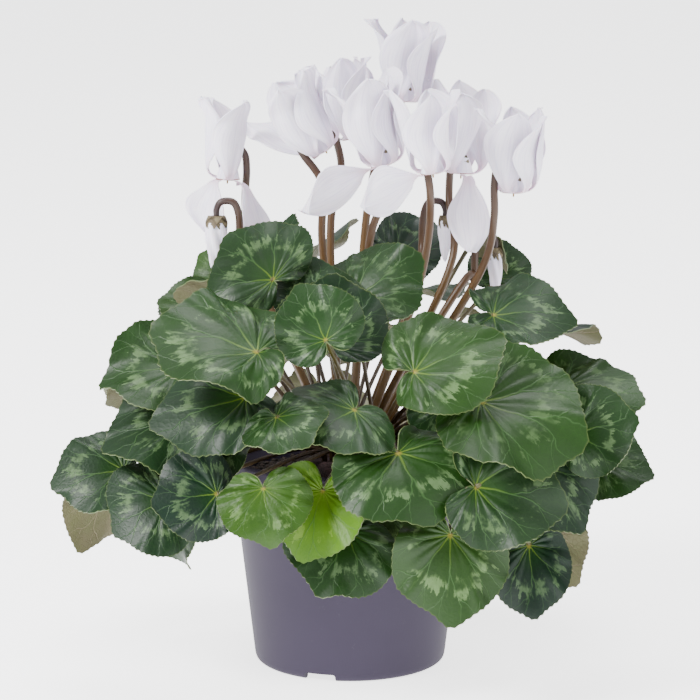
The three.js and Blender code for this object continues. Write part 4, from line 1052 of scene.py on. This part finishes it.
def notch_block(turn):
    """A notch under the foot ring, seen along its way out."""
    out = heading(turn)
    side = np.array((-out[1], out[0], 0))
    half, top = NOTCH_WIDTH / 2, NOTCH_HEIGHT
    outline = [(half, -1), (half, top - NOTCH_BEVEL), (half - NOTCH_BEVEL, top),
               (NOTCH_BEVEL - half, top), (-half, top - NOTCH_BEVEL), (-half, -1)]
    ring = np.array([side * x + UP * z for x, z in outline])
    return prism(ring + out * (POT_BASE_RADIUS - 7), out * 12)


def drain_block(turn):
    ring = [heading(TURN * j / DRAIN_SIDES) * DRAIN_RADIUS for j in range(DRAIN_SIDES)]
    return prism(np.array(ring) + heading(turn) * DRAIN_CIRCLE + 2 * UP, 6 * UP)


def make_pot():
    inner = POT_BASE_RADIUS - POT_WALL
    rim_foot = POT_HEIGHT - POT_RIM_HEIGHT
    foot_outer = POT_BASE_RADIUS - FOOT_BEVEL
    foot_inner = foot_outer - FOOT_WIDTH
    floor_top = POT_FLOOR + POT_WALL
    profile = [
        (0, POT_FLOOR), (foot_inner - 1.5, POT_FLOOR), (foot_inner, 0), (foot_outer, 0),
        (POT_BASE_RADIUS - 0.5, FOOT_BEVEL * 0.6), (POT_BASE_RADIUS, FOOT_BEVEL * 1.5),
        (POT_NECK_RADIUS, rim_foot - 1), (POT_RIM_RADIUS - 1.5, rim_foot),
        (POT_RIM_RADIUS, rim_foot + 1.5), (POT_RIM_RADIUS, POT_HEIGHT - 1),
        (POT_RIM_RADIUS - 1, POT_HEIGHT), (POT_RIM_RADIUS - POT_RIM_WIDTH + 0.4, POT_HEIGHT),
        (POT_RIM_RADIUS - POT_RIM_WIDTH, rim_foot + 3), (POT_NECK_RADIUS - POT_WALL, rim_foot),
        (inner, POT_FLOOR + 3), (inner - 2, floor_top), (0, floor_top),
    ]
    points, faces = turned(rounded(profile)[1:-1], POT_SEGMENTS)
    faces += end_faces(0, len(points) - POT_SEGMENTS, POT_SEGMENTS)
    piece = new_piece("pot_fine", points, faces, [POT])
    notches = [notch_block(radians(NOTCH_TURN + 360 * i / NOTCH_COUNT))
               for i in range(NOTCH_COUNT)]
    drains = [drain_block(TURN * i / DRAIN_COUNT) for i in range(DRAIN_COUNT)]
    points, faces = [], []
    for block_points, block_faces in notches + drains:
        faces += [[i + len(points) for i in face] for face in block_faces]
        points += block_points
    cutter = new_piece("cutter", points, faces)
    cut = piece.modifiers.new("cut", "BOOLEAN")
    cut.object = cutter
    cut.solver = "EXACT"
    view = bpy.context.evaluated_depsgraph_get()
    piece.data = bpy.data.meshes.new_from_object(piece.evaluated_get(view))
    piece.modifiers.clear()
    bpy.data.objects.remove(cutter)
    piece.data.polygons.foreach_set("use_smooth", [True] * len(piece.data.polygons))
    piece.data.set_sharp_from_angle(angle=radians(SHARP_FROM))
    settle(piece, "pot")


def lump(points, scale, height, seed):
    return np.array([soft_noise(p) for p in points * scale + seed]) * height


def make_soil():
    """Compost that fills the pot to under its rim, with loose crumbs on top."""
    reach = POT_NECK_RADIUS - POT_WALL - GAP - 1.2
    rings = [(0.5, POT_FLOOR + 3), (POT_BASE_RADIUS - 5, POT_FLOOR + 3), (reach - 4, SOIL_TOP - 45),
             (reach, SOIL_TOP - 6)]
    rings += [(reach * k / SOIL_RINGS, SOIL_TOP - 1.4) for k in range(SOIL_RINGS, 0, -1)]
    points, faces = turned([*rings, (0.5, SOIL_TOP - 2)], SOIL_SEGMENTS)
    top = points[:, 2] > SOIL_TOP - 3
    rise = lump(points, 0.35, 1.6, 3) + lump(points, 0.9, 0.9, 11)
    points[top, 2] += np.clip(rise[top], -3, 1.3)
    sheaf = Sheaf()
    sheaf.add(points, faces, 0)
    rng = random.Random(7)
    turns = [TURN * j / CRUMB_SIDES for j in range(CRUMB_SIDES)]
    ball = [(0, 0, 1), (0, 0, -1)]
    ball += [(cos(a) * 0.9, sin(a) * 0.9, h) for h in (0.45, -0.45) for a in turns]
    upper, lower = ([first + j for j in range(CRUMB_SIDES)] for first in (2, 2 + CRUMB_SIDES))
    pairs = list(zip(upper, upper[1:] + upper[:1], lower, lower[1:] + lower[:1]))
    fans = [[0, a, b] for a, b, _, _ in pairs] + [[1, d, c] for _, _, c, d in pairs]
    walls = [[a, c, d, b] for a, b, c, d in pairs]
    for _ in range(CRUMB_COUNT):
        turn, away = rng.random() * TURN, sqrt(rng.uniform(0.27, 0.95)) * reach
        size = rng.uniform(0.5, 1.9)
        stretch = np.array([rng.uniform(0.6, 1.3) for _ in range(3)]) * size
        crumb = ball * stretch * np.array([[rng.uniform(0.8, 1.2)] for _ in ball])
        crumb += heading(turn) * away + UP * (SOIL_TOP - 1.2 + 0.2 * size)
        sheaf.add(crumb, fans, 0)
        sheaf.add(crumb, walls, 0)
    sheaf.build("soil", [PEAT])


def make_tuber():
    """A corky crown with a flat top, dimpled where stems have come and gone."""
    foot = TUBER_TOP - TUBER_HEIGHT
    flat_radius = TUBER_RADIUS - TUBER_SHOULDER
    profile = [(0.5, foot), (TUBER_RADIUS * 0.6, foot + TUBER_HEIGHT * 0.08),
               (TUBER_RADIUS, foot + TUBER_HEIGHT * 0.5), (TUBER_RADIUS, foot + TUBER_HEIGHT * 0.7)]
    for turn in np.linspace(0, pi / 2, 13)[1:]:
        profile.append((flat_radius + TUBER_SHOULDER * cos(turn),
                        TUBER_TOP - 9 + 8.4 * sin(turn)))
    profile += [(flat_radius * (1 - k / 24) + 0.4, TUBER_TOP - 0.6) for k in range(1, 25)]
    points, faces = turned(profile, TUBER_SEGMENTS)
    bulge = lump(points, 0.22, 1.1, 5) + lump(points, 0.6, 0.5, 9) - 0.5
    away = points - UP * (TUBER_TOP - 15)
    points += away / norm(away, axis=1, keepdims=True) * bulge[:, None]
    points[:, 2] = np.minimum(points[:, 2], TUBER_TOP)
    sheaf = Sheaf()
    sheaf.add(points, faces, 0)
    sheaf.build("tuber", [CORK])


# ---- studio, in metres
FLOOR_GLOW = 2.4
FLOOR_REACH = 12
SKY_COLOUR = (0.97, 0.98, 1.0, 1)
SKY_STRENGTH = 0.9
LAMPS = [
    ("key", (-1.3, -1.0, 1.5), (0, 0, 0.16), 0.7, 76),
    ("fill", (1.4, -1.0, 0.8), (0, 0, 0.15), 1.2, 12),
    ("top", (0.1, 0.3, 1.9), (0, 0, 0.15), 1.0, 30),
]
PICTURE_PIXELS = 700
FOCAL_PIXELS = 3216
SENSOR_WIDTH = 36
CAMERA_AIM = Vector((0, 0, 0.1477))
CAMERA_DISTANCE = 1.5
CAMERA_TILT = radians(11)


def aimed(item, place, aim):
    """The lamp or camera stands at the place and looks at the aim."""
    item.location = place
    item.rotation_euler = (Vector(aim) - Vector(place)).to_track_quat("-Z", "Y").to_euler()
    return item


def make_studio():
    """A wide pale floor that glows softly, a white sky and soft lights."""
    paint = plain_material("studio_floor", 0.8, (0.92, 0.92, 0.93), (0.94, 0.94, 0.95), 3.0,
                           0.0001, 0.1)
    glow = paint.node_tree.nodes["Principled BSDF"].inputs
    glow["Emission Color"].default_value = (1, 1, 1, 1)
    glow["Emission Strength"].default_value = FLOOR_GLOW
    corners = [(x * FLOOR_REACH / MM, y * FLOOR_REACH / MM, 0)
               for x, y in ((-1, -1), (1, -1), (1, 1), (-1, 1))]
    new_piece("studio_floor", corners, [(0, 1, 2, 3)], [paint])
    world = bpy.data.worlds.new("studio")
    world.use_nodes = True
    sky = world.node_tree.nodes["Background"].inputs
    sky["Color"].default_value = SKY_COLOUR
    sky["Strength"].default_value = SKY_STRENGTH
    bpy.context.scene.world = world
    for name, place, aim, size, power in LAMPS:
        lamp = bpy.data.lights.new(name, "AREA")
        lamp.size = size
        lamp.energy = power
        aimed(in_scene(name, lamp), place, aim)


def make_camera():
    lens = bpy.data.cameras.new("view")
    lens.sensor_width = SENSOR_WIDTH
    lens.lens = FOCAL_PIXELS / PICTURE_PIXELS * SENSOR_WIDTH
    back = Vector((0, -cos(CAMERA_TILT), sin(CAMERA_TILT)))
    place = CAMERA_AIM + CAMERA_DISTANCE * back
    bpy.context.scene.camera = aimed(in_scene("view", lens), place, CAMERA_AIM)


make_camera()
make_studio()
make_pot()
make_soil()
make_tuber()
make_leaves()
for number, flower in enumerate(BLOOMS):
    make_bloom(flower, number)
    make_stem(flower, number, HOOK_REACH, HOOK_SPOTS)
for number, flower in enumerate(BUDS):
    make_bud(flower, number)
    make_stem(flower, number + len(BLOOMS), BUD_HOOK, BUD_HOOK_SPOTS)
